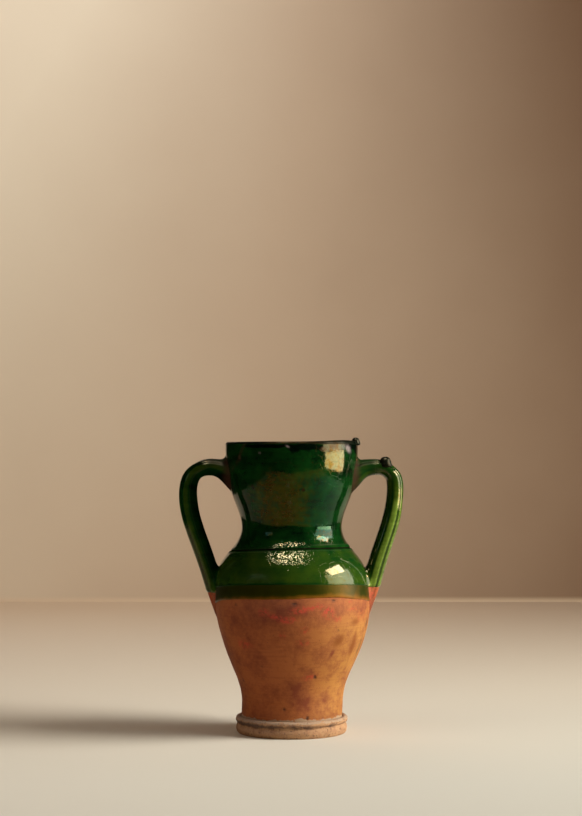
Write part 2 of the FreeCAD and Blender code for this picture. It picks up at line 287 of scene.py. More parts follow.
class JarSizes(bpy.types.PropertyGroup):
    """The thrown wall, the foot and the straps."""

    wall: length("Wall", "Thickness of the thrown wall", 6.0)
    floor: length("Floor", "Thickness of the foot's floor disc", 12.0)
    ankle_radius: length("Ankle radius", "The clay's radius just above the foot", 50.3)
    ankle_rise: length("Ankle rise", "From the floor disc to the ankle", 18.0)
    belly_radius: length("Belly radius", "The clay's largest radius", 77.4)
    belly_rise: length("Belly rise", "From the ankle to the belly", 100.0)
    waist_radius: length("Waist radius", "The clay's radius at the narrow of the neck", 49.3)
    waist_rise: length("Waist rise", "From the belly to the waist", 73.0)
    mouth_radius: length("Mouth radius", "The clay's radius under the lip", 65.7)
    collar_rise: length("Collar rise", "From the waist to the top of the collar", 80.0)
    lip_rise: length("Lip rise", "From the collar to the middle of the lip's roll", 3.2)
    foot_radius: length("Foot radius", "The foot's radius at its roll", 56.0)
    foot_height: length("Foot height", "Where the foot's roll meets the wall", 15.4)
    cove: length("Cove", "Radius inside, where the wall meets the floor", 9.0)
    seam_drop: length("Line drop", "From the waist down to the incised line", 21.6)
    handle_width: length("Strap width", "Width of the straps", 24.4)
    left_thickness: length("Left strap", "Thickness of the left strap", 17.0)
    left_reach: length("Left reach", "How far out the left strap's middle line runs", 104.1)
    right_thickness: length("Right strap", "Thickness of the right strap", 16.0)
    right_reach: length("Right reach", "How far out the right strap's middle line runs", 103.6)
    crown_drop: length("Crown drop", "From the lip down to the straps' crowns", 22.6)
    reach_drop: length("Reach drop", "From the lip down to the straps' furthest point", 47.4)
    tail_drop: length("Tail drop", "From the belly's middle down to the straps' ends", 15.0)
    root_sink: length("Root sink", "How far a strap's middle line starts inside the wall's face", 3.6)
    tail_sink: length("Tail sink", "How far a strap's middle line ends inside the wall's face", 9.1)

    @property
    def belly_height(self):
        return self.floor + self.ankle_rise + self.belly_rise

    @property
    def waist_height(self):
        return self.belly_height + self.waist_rise

    @property
    def collar_height(self):
        return self.waist_height + self.collar_rise

    @property
    def lip_height(self):
        return self.collar_height + self.lip_rise

    @property
    def seam_height(self):
        return self.waist_height - self.seam_drop


class JarGlaze(bpy.types.PropertyGroup):
    """The dipped glaze and its colours."""

    coat: length("Coat", "Thickness of the green coat", 0.6)
    band: length("Band coat", "Thickness of the olive band", 0.4)
    coat_edge_rise: length("Coat edge", "From the belly's middle up to the green coat's edge", 17.0)
    band_width: length("Band width", "How far the olive band shows below the green coat", 15.6)
    green: colour("Green", "Copper green, at its usual thickness", "#0a300d")
    moss: colour("Moss", "The green where it runs thinner over the shoulder", "#31460e")
    thin: colour("Thin glaze", "Yellow green over ridges", "#6e8632")
    pooled: colour("Pooled glaze", "Nearly black, where the glaze gathers", "#020a04")
    olive: colour("Olive", "The thin glaze of the band", "#232a04")
    ochre: colour("Ochre", "The band's lower edge", "#6a4412")
    rust: colour("Rust", "Brown where the glaze broke over an edge", "#38221a")
    # Painted highlight: the pale lilac laid on the lip's chip and lump
    pale_highlight: colour("Chip", "Bruised glaze with a lilac bloom", "#a8949a")
    sheen: colour("Sheen", "Tint of the glaze's reflections", "#ffeab0")
    # Amber, slate and sea are painted reflection colours, laid by place round the neck
    amber: colour("Amber lustre", "Tint of the reflections over the middle of the neck", "#ffae10")
    slate: colour("Slate lustre", "Tint of the reflections to the left of the neck", "#86a884")
    sea: colour("Sea lustre", "Tint of the reflections to the right of the neck", "#74d8b0")


class JarClay(bpy.types.PropertyGroup):
    """The fired clay's colours."""

    terracotta: colour("Terracotta", "Fired clay", "#985226")
    brick: colour("Brick", "Redder patches of the clay", "#6f3017")
    # Painted light: the warm clay is laid round the right, where the key lamps light the jar
    warm: colour("Warm clay", "Yellower, harder fired side", "#a26c30")
    ochre: colour("Ochre stain", "Finger marks of thin glaze", "#783e08")
    scuff: colour("Scuff", "Fresh red rubs", "#b43c26")
    pit: colour("Pit", "Dark pits and specks", "#26100a")
    foot: colour("Foot clay", "The foot's paler clay", "#a87e58")
    # Dirt and painted shade: the dark in the groove under the foot's roll is partly shade painted in
    groove_dirt_and_shade: colour("Grime", "Dirt in the foot's groove", "#4a352c")
    lime: colour("Lime", "Pale deposit on the foot", "#9e8268")


class JarStage(bpy.types.PropertyGroup):
    """The table, the lamps and the camera."""

    distance: length("Camera distance", "From the camera to the jar's axis", 1810.0)
    eye_height: length("Eye height", "The camera's height above the table", 270.0)
    pitch: angle("Pitch", "How far the camera looks up", 1.65)
    lens: bpy.props.FloatProperty(name="Lens", description="Focal length in mm", default=79.85)
    # The table and backdrop colours paint in the fall of the light: lighter in front and on the backdrop's
    # upper left, darker at the back and to the right
    table: colour("Table", "The pale table top", "#e6e1d4")
    table_right: colour("Table, right", "The table top to the right", "#bcbab0")
    far: colour("Far table", "The table towards its back edge", "#d2bda4")
    glow: colour("Backdrop, lit side", "The backdrop's upper left", "#dfd3be")
    wall: colour("Backdrop", "The backdrop behind the jar", "#bfaa94")
    shade: colour("Backdrop, dark side", "The backdrop's right", "#7c5c42")
    key: bpy.props.FloatProperty(name="Key", description="Brightness of all the lamps", default=0.36)
    room_seen: colour("Room, seen", "What the camera sees past the sheets", "#b39a7e")
    room_light: colour("Room, light", "The warm light that the room throws on everything", "#54381c")
    room_reflected: colour("Room, reflected", "The dark room that the glaze reflects", "#080706")


class Curve:
    """A smooth curve y(x) through points, read at many places at once."""

    def __init__(self, points, level=True):
        self.x = np.array([p[0] for p in points], dtype=float)
        self.y = np.array([p[1:] for p in points], dtype=float)
        self.slope = self.slopes(level)

    def slopes(self, level):
        """The slopes that leave no kink, level or free at the ends."""
        count, step = len(self.x), np.diff(self.x)
        rise = np.diff(self.y, axis=0) / step[:, None]
        matrix, target = np.zeros((count, count)), np.zeros_like(self.y)
        matrix[0, 0] = matrix[-1, -1] = 1.0
        if not level:
            target[0], target[-1] = rise[0], rise[-1]
        for i in range(1, count - 1):
            matrix[i, i - 1 : i + 2] = 1 / step[i - 1], 2 / step[i - 1] + 2 / step[i], 1 / step[i]
            target[i] = 3 * (rise[i - 1] / step[i - 1] + rise[i] / step[i])
        return np.linalg.solve(matrix, target)

    def at(self, places):
        """y at each place, held beyond the ends."""
        places = np.clip(places, self.x[0], self.x[-1])
        i = np.clip(np.searchsorted(self.x, places, side="right") - 1, 0, len(self.x) - 2)
        span = self.x[i + 1] - self.x[i]
        t = ((places - self.x[i]) / span)[..., None]
        span = span[..., None]
        made = (2 * t**3 - 3 * t**2 + 1) * self.y[i] + (t**3 - 2 * t**2 + t) * span * self.slope[i]
        made += (3 * t**2 - 2 * t**3) * self.y[i + 1] + (t**3 - t**2) * span * self.slope[i + 1]
        return made[..., 0] if made.shape[-1] == 1 else made


def rise(low, high, values):
    """0 below low, 1 above high and a smooth rise between them."""
    t = np.clip((np.asarray(values, dtype=float) - low) / (high - low), 0, 1)
    return t * t * (3 - 2 * t)


def bell(values, centre, spread):
    """A bell of height 1 at the centre."""
    return np.exp(-(((np.asarray(values) - centre) / spread) ** 2))


def turn_between(angles, centre_deg):
    """How far each angle lies from a direction, in radians, the short way round."""
    away = np.asarray(angles) - math.radians(centre_deg)
    return (away + np.pi) % (2 * np.pi) - np.pi


def from_front(angles):
    """How far round from the front each angle lies, in degrees, positive towards +X."""
    return np.degrees(turn_between(angles, FRONT))


def lumps(points, size, seed):
    """Soft irregularity of about that size at each point, from -1 to 1."""
    shift = Vector((seed * 7.13, seed * 3.71, seed * 5.37))
    return np.array([noise.noise(Vector(p) / size + shift) for p in points])


def marked(points, marks):
    """How strongly each point lies in any of the marks of a table."""
    angles, radii, heights = around(points)
    strongest = np.zeros(len(points))
    for azimuth, height, wide, tall, slant, strength in marks:
        up = heights / MM - height
        across = turn_between(angles, azimuth + FRONT) * radii / MM - slant * up
        away = (across / wide) ** 2 + (up / tall) ** 2
        strongest = np.maximum(strongest, strength * np.exp(-(away**1.5)))
    return strongest


def wall_line(sizes):
    """The clay's outside radius against height, from the ankle to the collar."""
    ankle = (sizes.floor + sizes.ankle_rise, sizes.ankle_radius)
    belly = (sizes.belly_height, sizes.belly_radius)
    waist = (sizes.waist_height, sizes.waist_radius)
    mouth = (sizes.collar_height, sizes.mouth_radius)
    points = []
    for shares, (low, start), (high, end) in (
        (LOWER_WALL_SHARES, ankle, belly),
        (SHOULDER_SHARES, belly, waist),
        (COLLAR_SHARES, waist, mouth),
    ):
        points.append((low, start))
        points += [(low + up * (high - low), start + out * (end - start)) for up, out in shares]
    return Curve([*points, mouth])


def around(points):
    """Each point as angle round the axis from +X, radius and height."""
    return np.arctan2(points[:, 1], points[:, 0]), np.hypot(points[:, 0], points[:, 1]), points[:, 2]


def back_to_points(angles, radii, heights):
    """Points from their angles round the axis, radii and heights."""
    return np.stack([radii * np.cos(angles), radii * np.sin(angles), heights], axis=1)


# How the jar departs from a true turned form, against height: the lean of its lines towards the front and
# the side, the drift of its middle to +X, a swelling above the foot and the drop of the lip from its one
# high stretch
FRONT_LEAN = Curve([(0.060, 0.0), (0.128, 0.077), (0.150, 0.077), (0.1814, 0.042), (0.215, 0.0)])
SIDE_LEAN = Curve([(0.150, 0.0), (0.1814, 0.024), (0.215, 0.0)])
DRIFT = Curve(
    [(0.014, 0.0), (0.024, 0.0004), (0.050, 0.0005), (0.090, 0.0015), (0.130, 0.0006), (0.180, 0.0)]
)
SWELL = Curve([(0.045, 0.0), (0.065, 0.0006), (0.095, 0.0006), (0.118, 0.0)])
LIP_DROP = Curve([(0.262, 0.0), (0.284, 0.0016)])
LIP_HIGH = -34  # Where that stretch is, in degrees round the axis from +X
LIP_HIGH_SPREAD = 0.5  # How far it reaches to each side, in radians
AXIS_ZONE = 0.030  # Nearer to the axis than this, the radius changes less and less


def leaned(points):
    """Points of the true turned form, moved to where the hand-made jar has them."""
    line = wall_line(bpy.context.scene.jar_sizes)
    angles, radii, heights = around(points)
    lifted = heights - FRONT_LEAN.at(heights) * radii * np.sin(angles)
    lifted += SIDE_LEAN.at(heights) * radii * np.cos(angles)
    lifted += LIP_DROP.at(heights) * (bell(turn_between(angles, LIP_HIGH), 0, LIP_HIGH_SPREAD) - 1)
    moved = radii + (line.at(lifted) - line.at(heights) + SWELL.at(heights)) * rise(0.0, AXIS_ZONE, radii)
    places = back_to_points(angles, moved, lifted)
    places[:, 0] += DRIFT.at(lifted)
    return places


def read(piece):
    """The places of a piece's vertices."""
    flat = np.empty(len(piece.data.vertices) * 3)
    piece.data.vertices.foreach_get("co", flat)
    return flat.reshape(-1, 3)


def place(piece, points):
    """Moves a piece's vertices."""
    piece.data.vertices.foreach_set("co", np.asarray(points, dtype=np.float32).ravel())
    piece.data.update()


def paint(piece, name, values):
    """Keeps one number for each vertex, for the materials."""
    layer = piece.data.attributes.new(name, "FLOAT", "POINT")
    layer.data.foreach_set("value", np.asarray(values, dtype=np.float32))


def thrown(name, section, closed):
    """A piece as it comes off the wheel: its half section drawn point by point, then spun round."""
    bpy.ops.object.select_all(action="DESELECT")
    start = section[0]
    bpy.ops.mesh.primitive_plane_add(size=MM, location=(start[0], 0, start[1]))
    piece = bpy.context.active_object
    piece.name = name
    bpy.ops.object.transform_apply(location=True)
    bpy.ops.object.mode_set(mode="EDIT")
    bpy.ops.mesh.merge(type="CENTER")
    for here, there in zip(section, section[1:]):
        step = (there[0] - here[0], 0, there[1] - here[1])
        bpy.ops.mesh.extrude_vertices_move(TRANSFORM_OT_translate={"value": step})
    if closed:
        ends = bmesh.from_edit_mesh(piece.data)
        for vertex in ends.verts:
            vertex.select_set(len(vertex.link_edges) == 1)
        ends.select_flush_mode()
        bpy.ops.mesh.edge_face_add()
    bpy.ops.mesh.select_all(action="SELECT")
    bpy.ops.mesh.spin(steps=ROUND_STEPS, angle=2 * math.pi, center=(0, 0, 0), axis=(0, 0, 1))
    bpy.ops.mesh.select_all(action="SELECT")
    bpy.ops.mesh.remove_doubles(threshold=0.002 * MM)
    bpy.ops.mesh.normals_make_consistent(inside=False)
    bpy.ops.object.mode_set(mode="OBJECT")
    return piece


def arc(middle, radius, start_deg, end_deg, steps):
    """Points along a round edge of the section."""
    turns = [math.radians(start_deg + (end_deg - start_deg) * i / steps) for i in range(steps + 1)]
    return [(middle[0] + radius * math.cos(t), middle[1] + radius * math.sin(t)) for t in turns]


def lip_edge(sizes, cover, start_deg, end_deg):
    """Points round the lip's outer edge (0 to 90 degrees) or its inner one (90 to 180), under that much
    glaze."""
    if start_deg < 90:
        corner, from_axis = LIP_OUTER, sizes.mouth_radius - LIP_OUTER
    else:
        corner, from_axis = LIP_INNER, sizes.mouth_radius - sizes.wall + LIP_INNER - LIP_OVERHANG
    return arc((from_axis, sizes.lip_height + LIP_STAND), corner + cover, start_deg, end_deg, 10)


def wall_slope(line, heights, reach):
    """How fast the wall widens with height, measured over that much above and below."""
    return (line.at(heights + reach) - line.at(heights - reach)) / (2 * reach)


def up_wall(sizes, low, high, step, offset=0.0):
    """Points of the section that follow the wall at an offset from the clay's face."""
    line = wall_line(sizes)
    count = max(int(round(abs(high - low) / step)), 1)
    heights = np.linspace(low, high, count + 1)
    slope = wall_slope(line, heights, 0.2 * MM)
    slant = np.sqrt(1 + slope**2)
    return list(zip(line.at(heights) + offset / slant, heights - offset * slope / slant))


def wall_point(sizes, height, offset):
    """One point of the section at an offset from the clay's face."""
    return up_wall(sizes, height, height, MM, offset)[0]


def cove_middle(sizes):
    """The middle of the round between the inside of the wall and the floor."""
    return sizes.ankle_radius - sizes.wall - sizes.cove, sizes.floor + sizes.cove


def glaze_edge(sizes, low, thickness, profile):
    """The rounded lower edge of a shell of glaze."""
    return [wall_point(sizes, low + up * MM, share * thickness) for share, up in profile]


def waver(angles, seed):
    """How much a glaze's edge wavers at each angle, from -1 to 1."""
    return lumps(back_to_points(angles, WAVER_RADIUS, 0 * angles), WAVER_SIZE, seed)


def finish_piece(piece, material, nodes):
    """Gives a piece its material, smooth faces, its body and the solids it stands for."""
    piece.data.materials.clear()
    piece.data.materials.append(material)
    bpy.ops.object.select_all(action="DESELECT")
    piece.select_set(True)
    bpy.context.view_layer.objects.active = piece
    bpy.ops.object.shade_smooth()
    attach(piece, "root")
    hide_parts(*nodes)


def put(tree, kind, feeds=None, out=0, stops=(), **settings):
    """Adds a node with its settings, feeds its inputs with values or other nodes' outputs, and gives its
    output.

    Inputs go by name, or by number where names repeat. A Mix has its share at 0, its numbers at 2 and 3 and
    its colours at 6 and 7, and a mixed colour comes out at 2. A Map Range has its value at 0, what it reads
    from 1 to 2 and what it gives from 3 to 4. Math has its numbers at 0, 1 and 2."""
    node = tree.nodes.new("ShaderNode" + kind)
    for key, value in settings.items():
        setattr(node, key, value)
    for index, (position, shade) in enumerate(stops):
        ramp = node.color_ramp.elements
        if index == 0:
            ramp.remove(ramp[1])
        spot = ramp[0] if index == 0 else ramp.new(position)
        spot.position, spot.color = position, (*shade, 1.0)
    for name, value in (feeds or {}).items():
        socket = node.inputs[name]
        if isinstance(value, bpy.types.NodeSocket):
            tree.links.new(value, socket)
        elif socket.type == "RGBA":
            socket.default_value = (*value, 1.0)
        else:
            socket.default_value = value
    return node.outputs[out] if len(node.outputs) else node


def new_material(name):
    """An empty material, its tree, its surface shader and its object coordinates."""
    material = bpy.data.materials.new(name)
    material.use_nodes = True
    tree = material.node_tree
    tree.nodes.clear()
    surface = put(tree, "BsdfPrincipled")
    put(tree, "OutputMaterial", {"Surface": surface})
    return material, tree, surface.node, put(tree, "TexCoord", out="Object")


def per_mm(millimetres):
    """The scale at which a pattern repeats about once in that many millimetres."""
    return 1 / (millimetres * MM)


def finish_surface(tree, shader, shade, layers=()):
    """Feeds the shader its colour and raises the surface by layers of (height from 0 to 1, depth in mm)."""
    tree.links.new(shade, shader.inputs["Base Color"])
    normal = None
    for height, depth in layers:
        feeds = {"Height": height, "Distance": abs(depth) * MM, "Strength": 1.0}
        if normal is not None:
            feeds["Normal"] = normal
        normal = put(tree, "Bump", feeds, invert=depth < 0)
    if normal is not None:
        tree.links.new(normal, shader.inputs["Normal"])


def green_lead_glaze(glaze, clay):
    """Copper-green lead glaze, dipped over terracotta: a deep wet gloss that goes black where it is thick,
    yellow green over ridges, with hairline crazing, pinholes and a faintly dimpled skin."""
    material, tree, shader, where = new_material("green_lead_glaze")
    painted = ("depth", "bare", "rust", "reflection_tint", "dimple", "matt")
    depth, bare, rust, reflection_tint, dimple, matt = (
        put(tree, "Attribute", attribute_name=name, out="Fac") for name in painted
    )
    # How thick the glaze lies: as painted on the piece, in clouds and in level streaks
    level = put(tree, "Mapping", {"Vector": where, "Scale": LEVEL_STREAKS})
    clouds = put(tree, "TexNoise", {"Vector": where, "Scale": per_mm(14), "Detail": 4.0})
    streaks = put(tree, "TexNoise", {"Vector": level, "Scale": per_mm(3.5), "Detail": 2.0})
    thick = put(tree, "Math", {0: clouds, 1: 0.55, 2: -0.275}, operation="MULTIPLY_ADD")
    thick = put(tree, "Math", {0: streaks, 1: 0.25, 2: thick}, operation="MULTIPLY_ADD")
    thick = put(tree, "Math", {0: thick, 1: depth}, operation="ADD")
    stops = [(0.0, glaze.thin), (0.38, glaze.moss), (0.72, glaze.green), (1.0, glaze.pooled)]
    shade = put(tree, "ValToRGB", {"Fac": thick}, stops=stops)
    # Real crazing is a hair's breadth wide: its lines are drawn about 0.2 mm wide, so that they show
    cells = put(tree, "TexVoronoi", {"Vector": where, "Scale": per_mm(9)}, feature="DISTANCE_TO_EDGE")
    craze = put(tree, "MapRange", {0: cells, 1: 0.012, 2: 0.0})
    # Pinholes, drawn 1 mm wide for the same reason
    holes = put(tree, "TexVoronoi", {"Vector": where, "Scale": per_mm(11)})
    holes = put(tree, "MapRange", {0: holes, 1: 0.05, 2: 0.02})
    dark = put(tree, "Math", {0: craze, 1: 0.35}, operation="MULTIPLY")
    # Painted highlights: pale lilac mottled with black, where bare is painted
    broken = put(tree, "TexNoise", {"Vector": where, "Scale": per_mm(2.5), "Detail": 4.0})
    highlight_mottle = put(tree, "Mix", {0: broken, 6: glaze.pooled, 7: glaze.pale_highlight}, data_type="RGBA", out=2)
    for share, over in ((dark, glaze.pooled), (rust, glaze.rust), (holes, clay.pit), (bare, highlight_mottle)):
        shade = put(tree, "Mix", {0: share, 6: shade, 7: over}, data_type="RGBA", out=2)
    # The dimpled skin breaks its reflection into grains: real ones are under 1 mm, and these are 2 mm, so
    # that they show
    grains = put(tree, "TexNoise", {"Vector": where, "Scale": per_mm(2.0), "Detail": 2.0})
    grains = put(tree, "MapRange", {0: grains, 1: 0.50, 2: 0.58, 3: 0.0, 4: 0.5})
    sparkle = put(tree, "Mix", {0: dimple, 2: 0.34, 3: grains})
    wet = put(tree, "Math", {0: matt, 1: -1.0, 2: 1.0}, operation="MULTIPLY_ADD", use_clamp=True)
    sparkle = put(tree, "Math", {0: sparkle, 1: wet}, operation="MULTIPLY")
    tree.links.new(sparkle, shader.inputs["Specular IOR Level"])
    # Painted reflection colour: a tint laid by place on the jar so that the reflections show the colours
    # seen in them, with ragged edges
    flecks = put(tree, "TexNoise", {"Vector": where, "Scale": per_mm(4), "Detail": 5.0, "Roughness": 0.7})
    tinge = put(tree, "Math", {0: flecks, 1: 1.5, 2: -0.75}, operation="MULTIPLY_ADD")
    tinge = put(tree, "Math", {0: tinge, 1: reflection_tint}, operation="ADD")
    stops = [(0.05, glaze.sheen), (0.3, glaze.amber), (0.6, glaze.slate), (0.95, glaze.sea)]
    tree.links.new(put(tree, "ValToRGB", {"Fac": tinge}, stops=stops), shader.inputs["Specular Tint"])
    fine = put(tree, "TexNoise", {"Vector": where, "Scale": per_mm(5), "Detail": 1.0})
    gloss = put(tree, "Math", {0: fine, 1: 0.05, 2: 0.05}, operation="MULTIPLY_ADD")
    for dulled, by in ((bare, 0.5), (rust, 0.4), (matt, 0.4)):
        gloss = put(tree, "Math", {0: dulled, 1: by, 2: gloss}, operation="MULTIPLY_ADD")
    tree.links.new(gloss, shader.inputs["Roughness"])
    shader.inputs["IOR"].default_value = GLAZE_IOR
    orange_peel = put(tree, "TexNoise", {"Vector": where, "Scale": per_mm(1.0), "Detail": 1.0})
    orange_peel = put(tree, "Math", {0: orange_peel, 1: dimple}, operation="MULTIPLY")
    layers = [(streaks, 0.04), (fine, 0.06), (holes, -0.1), (craze, -0.02), (orange_peel, 0.25)]
    finish_surface(tree, shader, shade, layers)
    return material


def olive_wash_glaze(glaze, clay):
    """The thin first dip below the green: the clay shows through, and olive turns to ochre at its edge."""
    material, tree, shader, where = new_material("olive_wash_glaze")
    depth = put(tree, "Attribute", attribute_name="depth", out="Fac")
    clouds = put(tree, "TexNoise", {"Vector": where, "Scale": per_mm(9), "Detail": 5.0})
    thick = put(tree, "Math", {0: clouds, 1: 0.4, 2: -0.2}, operation="MULTIPLY_ADD")
    thick = put(tree, "Math", {0: thick, 1: depth}, operation="ADD")
    stops = [(0.0, clay.terracotta), (0.2, glaze.ochre), (0.5, glaze.olive), (1.0, glaze.pooled)]
    shade = put(tree, "ValToRGB", {"Fac": thick}, stops=stops)
    shader.inputs["IOR"].default_value = GLAZE_IOR
    shader.inputs["Specular IOR Level"].default_value = 0.2
    shader.inputs["Specular Tint"].default_value = (*glaze.amber, 1.0)
    shader.inputs["Roughness"].default_value = 0.34
    finish_surface(tree, shader, shade, [(clouds, 0.12)])
    return material


def thrown_terracotta(clay):
    """Bare fired red earthenware, wiped and turned: matt and warm, mottled from brick to ochre, with level
    streaks from throwing, fine grog, dark pits, fresh red rubs and yellow stains."""
    material, tree, shader, where = new_material("thrown_terracotta")
    painted = ("rub", "stain", "pit", "warm", "blotch", "lime")
    rub, stain, pit, warm, blotch, lime = (
        put(tree, "Attribute", attribute_name=name, out="Fac") for name in painted
    )
    # The warm clay is painted light on the lit right side
    base = put(tree, "Mix", {0: warm, 6: clay.terracotta, 7: clay.warm}, data_type="RGBA", out=2)
    # Redder patches
    broad = put(tree, "TexNoise", {"Vector": where, "Scale": per_mm(30), "Detail": 5.0, "Roughness": 0.6})
    mottle = put(tree, "TexNoise", {"Vector": where, "Scale": per_mm(6), "Detail": 7.0, "Roughness": 0.72})
    patches = put(tree, "Math", {0: mottle, 1: 0.8, 2: -0.4}, operation="MULTIPLY_ADD")
    patches = put(tree, "Math", {0: patches, 1: broad}, operation="ADD")
    patches = put(tree, "Math", {0: blotch, 1: 0.35, 2: patches}, operation="MULTIPLY_ADD")
    patches = put(tree, "MapRange", {0: patches, 1: 0.42, 2: 0.78, 4: 0.9})
    # Throwing lines
    level = put(tree, "Mapping", {"Vector": where, "Scale": LEVEL_STREAKS})
    streaks = put(tree, "TexNoise", {"Vector": level, "Scale": per_mm(2.2), "Detail": 2.0})
    lines = put(tree, "MapRange", {0: streaks, 1: 0.5, 2: 0.8, 4: 0.35})
    # Rubs, torn at their edges
    torn = put(tree, "TexNoise", {"Vector": where, "Scale": per_mm(3.5), "Detail": 6.0, "Roughness": 0.7})
    torn = put(tree, "MapRange", {0: torn, 1: 0.44, 2: 0.56})
    rubbed = put(tree, "Math", {0: rub, 1: torn}, operation="MULTIPLY")
    # Specks about 5 mm apart: real ones are as fine as the grog, and these are 1 mm wide, so that they show
    specks = put(tree, "TexVoronoi", {"Vector": where, "Scale": per_mm(5)})
    specks = put(tree, "MapRange", {0: specks, 1: 0.10, 2: 0.04, 4: 0.6})
    dark = put(tree, "Math", {0: specks, 1: pit}, operation="MAXIMUM")
    # Lime that crept up from the foot, ragged at its edge
    ragged = put(tree, "Math", {0: mottle, 1: 2.4, 2: -1.2}, operation="MULTIPLY_ADD")
    crust = put(tree, "Math", {0: ragged, 1: lime}, operation="ADD")
    crust = put(tree, "MapRange", {0: crust, 1: 0.45, 2: 0.6})
    reach = put(tree, "MapRange", {0: lime, 1: 0.02, 2: 0.15})
    crust = put(tree, "Math", {0: crust, 1: reach}, operation="MULTIPLY")
    overlays = [
        (patches, clay.brick),
        (lines, clay.brick),
        (stain, clay.ochre),
        (rubbed, clay.scuff),
        (dark, clay.pit),
        (crust, clay.lime),
    ]
    shade = base
    for share, over in overlays:
        shade = put(tree, "Mix", {0: share, 6: shade, 7: over}, data_type="RGBA", out=2)
    shader.inputs["Roughness"].default_value = 0.72
    shader.inputs["Specular IOR Level"].default_value = 0.25
    # Grog, drawn about three times as coarse as it is
    grog = put(tree, "TexNoise", {"Vector": where, "Scale": per_mm(0.9), "Detail": 3.0})
    finish_surface(tree, shader, shade, [(broad, 0.6), (streaks, 0.15), (grog, 0.14), (dark, -0.3)])
    return material


def moulded_foot_clay(clay):
    """The foot's coarser clay, scraped and sandy: pale pinkish beige, pitted, with lime in its gutter."""
    material, tree, shader, where = new_material("moulded_foot_clay")
    lime, groove_dirt_and_shade = (put(tree, "Attribute", attribute_name=name, out="Fac") for name in ("lime", "groove_dirt_and_shade"))
    broad = put(tree, "TexNoise", {"Vector": where, "Scale": per_mm(9), "Detail": 6.0, "Roughness": 0.7})
    patches = put(tree, "MapRange", {0: broad, 1: 0.45, 2: 0.8, 4: 0.6})
    # Dirt and painted shade in the groove, mottled
    dirt_and_shade = put(tree, "Math", {0: broad, 1: 2.2, 2: -1.1}, operation="MULTIPLY_ADD")
    dirt_and_shade = put(tree, "Math", {0: dirt_and_shade, 1: groove_dirt_and_shade}, operation="ADD")
    dirt_and_shade = put(tree, "MapRange", {0: dirt_and_shade, 1: 0.3, 2: 0.8, 4: 0.85})
    ragged = put(tree, "TexNoise", {"Vector": where, "Scale": per_mm(4), "Detail": 6.0})
    ragged = put(tree, "Math", {0: ragged, 1: 1.2, 2: -0.6}, operation="MULTIPLY_ADD")
    crust = put(tree, "Math", {0: ragged, 1: lime}, operation="ADD")
    crust = put(tree, "MapRange", {0: crust, 1: 0.45, 2: 0.62})
    # Pits and grit, drawn two to three times as coarse as they are
    pits = put(tree, "TexNoise", {"Vector": where, "Scale": per_mm(1.8), "Detail": 4.0, "Roughness": 0.7})
    pits = put(tree, "MapRange", {0: pits, 1: 0.45, 2: 0.34, 4: 0.7})
    shade = put(tree, "Mix", {0: patches, 6: clay.foot, 7: clay.brick}, data_type="RGBA", out=2)
    for share, over in ((dirt_and_shade, clay.groove_dirt_and_shade), (crust, clay.lime), (pits, clay.pit)):
        shade = put(tree, "Mix", {0: share, 6: shade, 7: over}, data_type="RGBA", out=2)
    shader.inputs["Roughness"].default_value = 0.85
    grit = put(tree, "TexNoise", {"Vector": where, "Scale": per_mm(0.8), "Detail": 3.0})
    finish_surface(tree, shader, shade, [(broad, 0.5), (pits, -0.4), (grit, 0.12)])
    return material


def painted_backdrop(name, stage):
    """Matt painted backdrop and table, with painted light and shade: pale underfoot, shading to tan at the
    back and to brown on the wall's right.
    """
    material, tree, shader, where = new_material(name)
    clouds = put(tree, "TexNoise", {"Vector": where, "Scale": per_mm(300), "Detail": 3.0})
    x, y, z = (put(tree, "SeparateXYZ", {0: where}, out=axis) for axis in "XYZ")
    # The table, with painted shade by how far back and how far to the right it is
    back = put(tree, "MapRange", {0: y, 1: -0.3, 2: 1.5})
    aside = put(tree, "MapRange", {0: x, 1: -0.4, 2: 0.35})
    floor = put(tree, "Mix", {0: aside, 6: stage.table, 7: stage.table_right}, data_type="RGBA", out=2)
    floor = put(tree, "Mix", {0: back, 6: floor, 7: stage.far}, data_type="RGBA", out=2)
    # The wall: painted light on its upper left and painted shade to the right, the faster the higher up
    steep = put(tree, "Math", {0: z, 1: z}, operation="MULTIPLY")
    steep = put(tree, "Math", {0: steep, 1: 0.42, 2: 0.68}, operation="MULTIPLY_ADD")
    across = put(tree, "Math", {0: z, 1: -0.16, 2: 0.11}, operation="MULTIPLY_ADD")
    for share, of in ((x, steep), (clouds, 0.15)):
        across = put(tree, "Math", {0: share, 1: of, 2: across}, operation="MULTIPLY_ADD")
    across = put(tree, "MapRange", {0: across, 1: -0.65, 2: 0.8})
    stops = [(0.1, stage.glow), (0.48, stage.wall), (1.0, stage.shade)]
    wall = put(tree, "ValToRGB", {"Fac": across}, stops=stops)
    upright = put(tree, "MapRange", {0: z, 1: 0.0, 2: 0.012}, interpolation_type="SMOOTHSTEP")
    shader.inputs["Roughness"].default_value = 0.9
    shader.inputs["Specular IOR Level"].default_value = 0.2
    finish_surface(tree, shader, put(tree, "Mix", {0: upright, 6: floor, 7: wall}, data_type="RGBA", out=2))
    return material


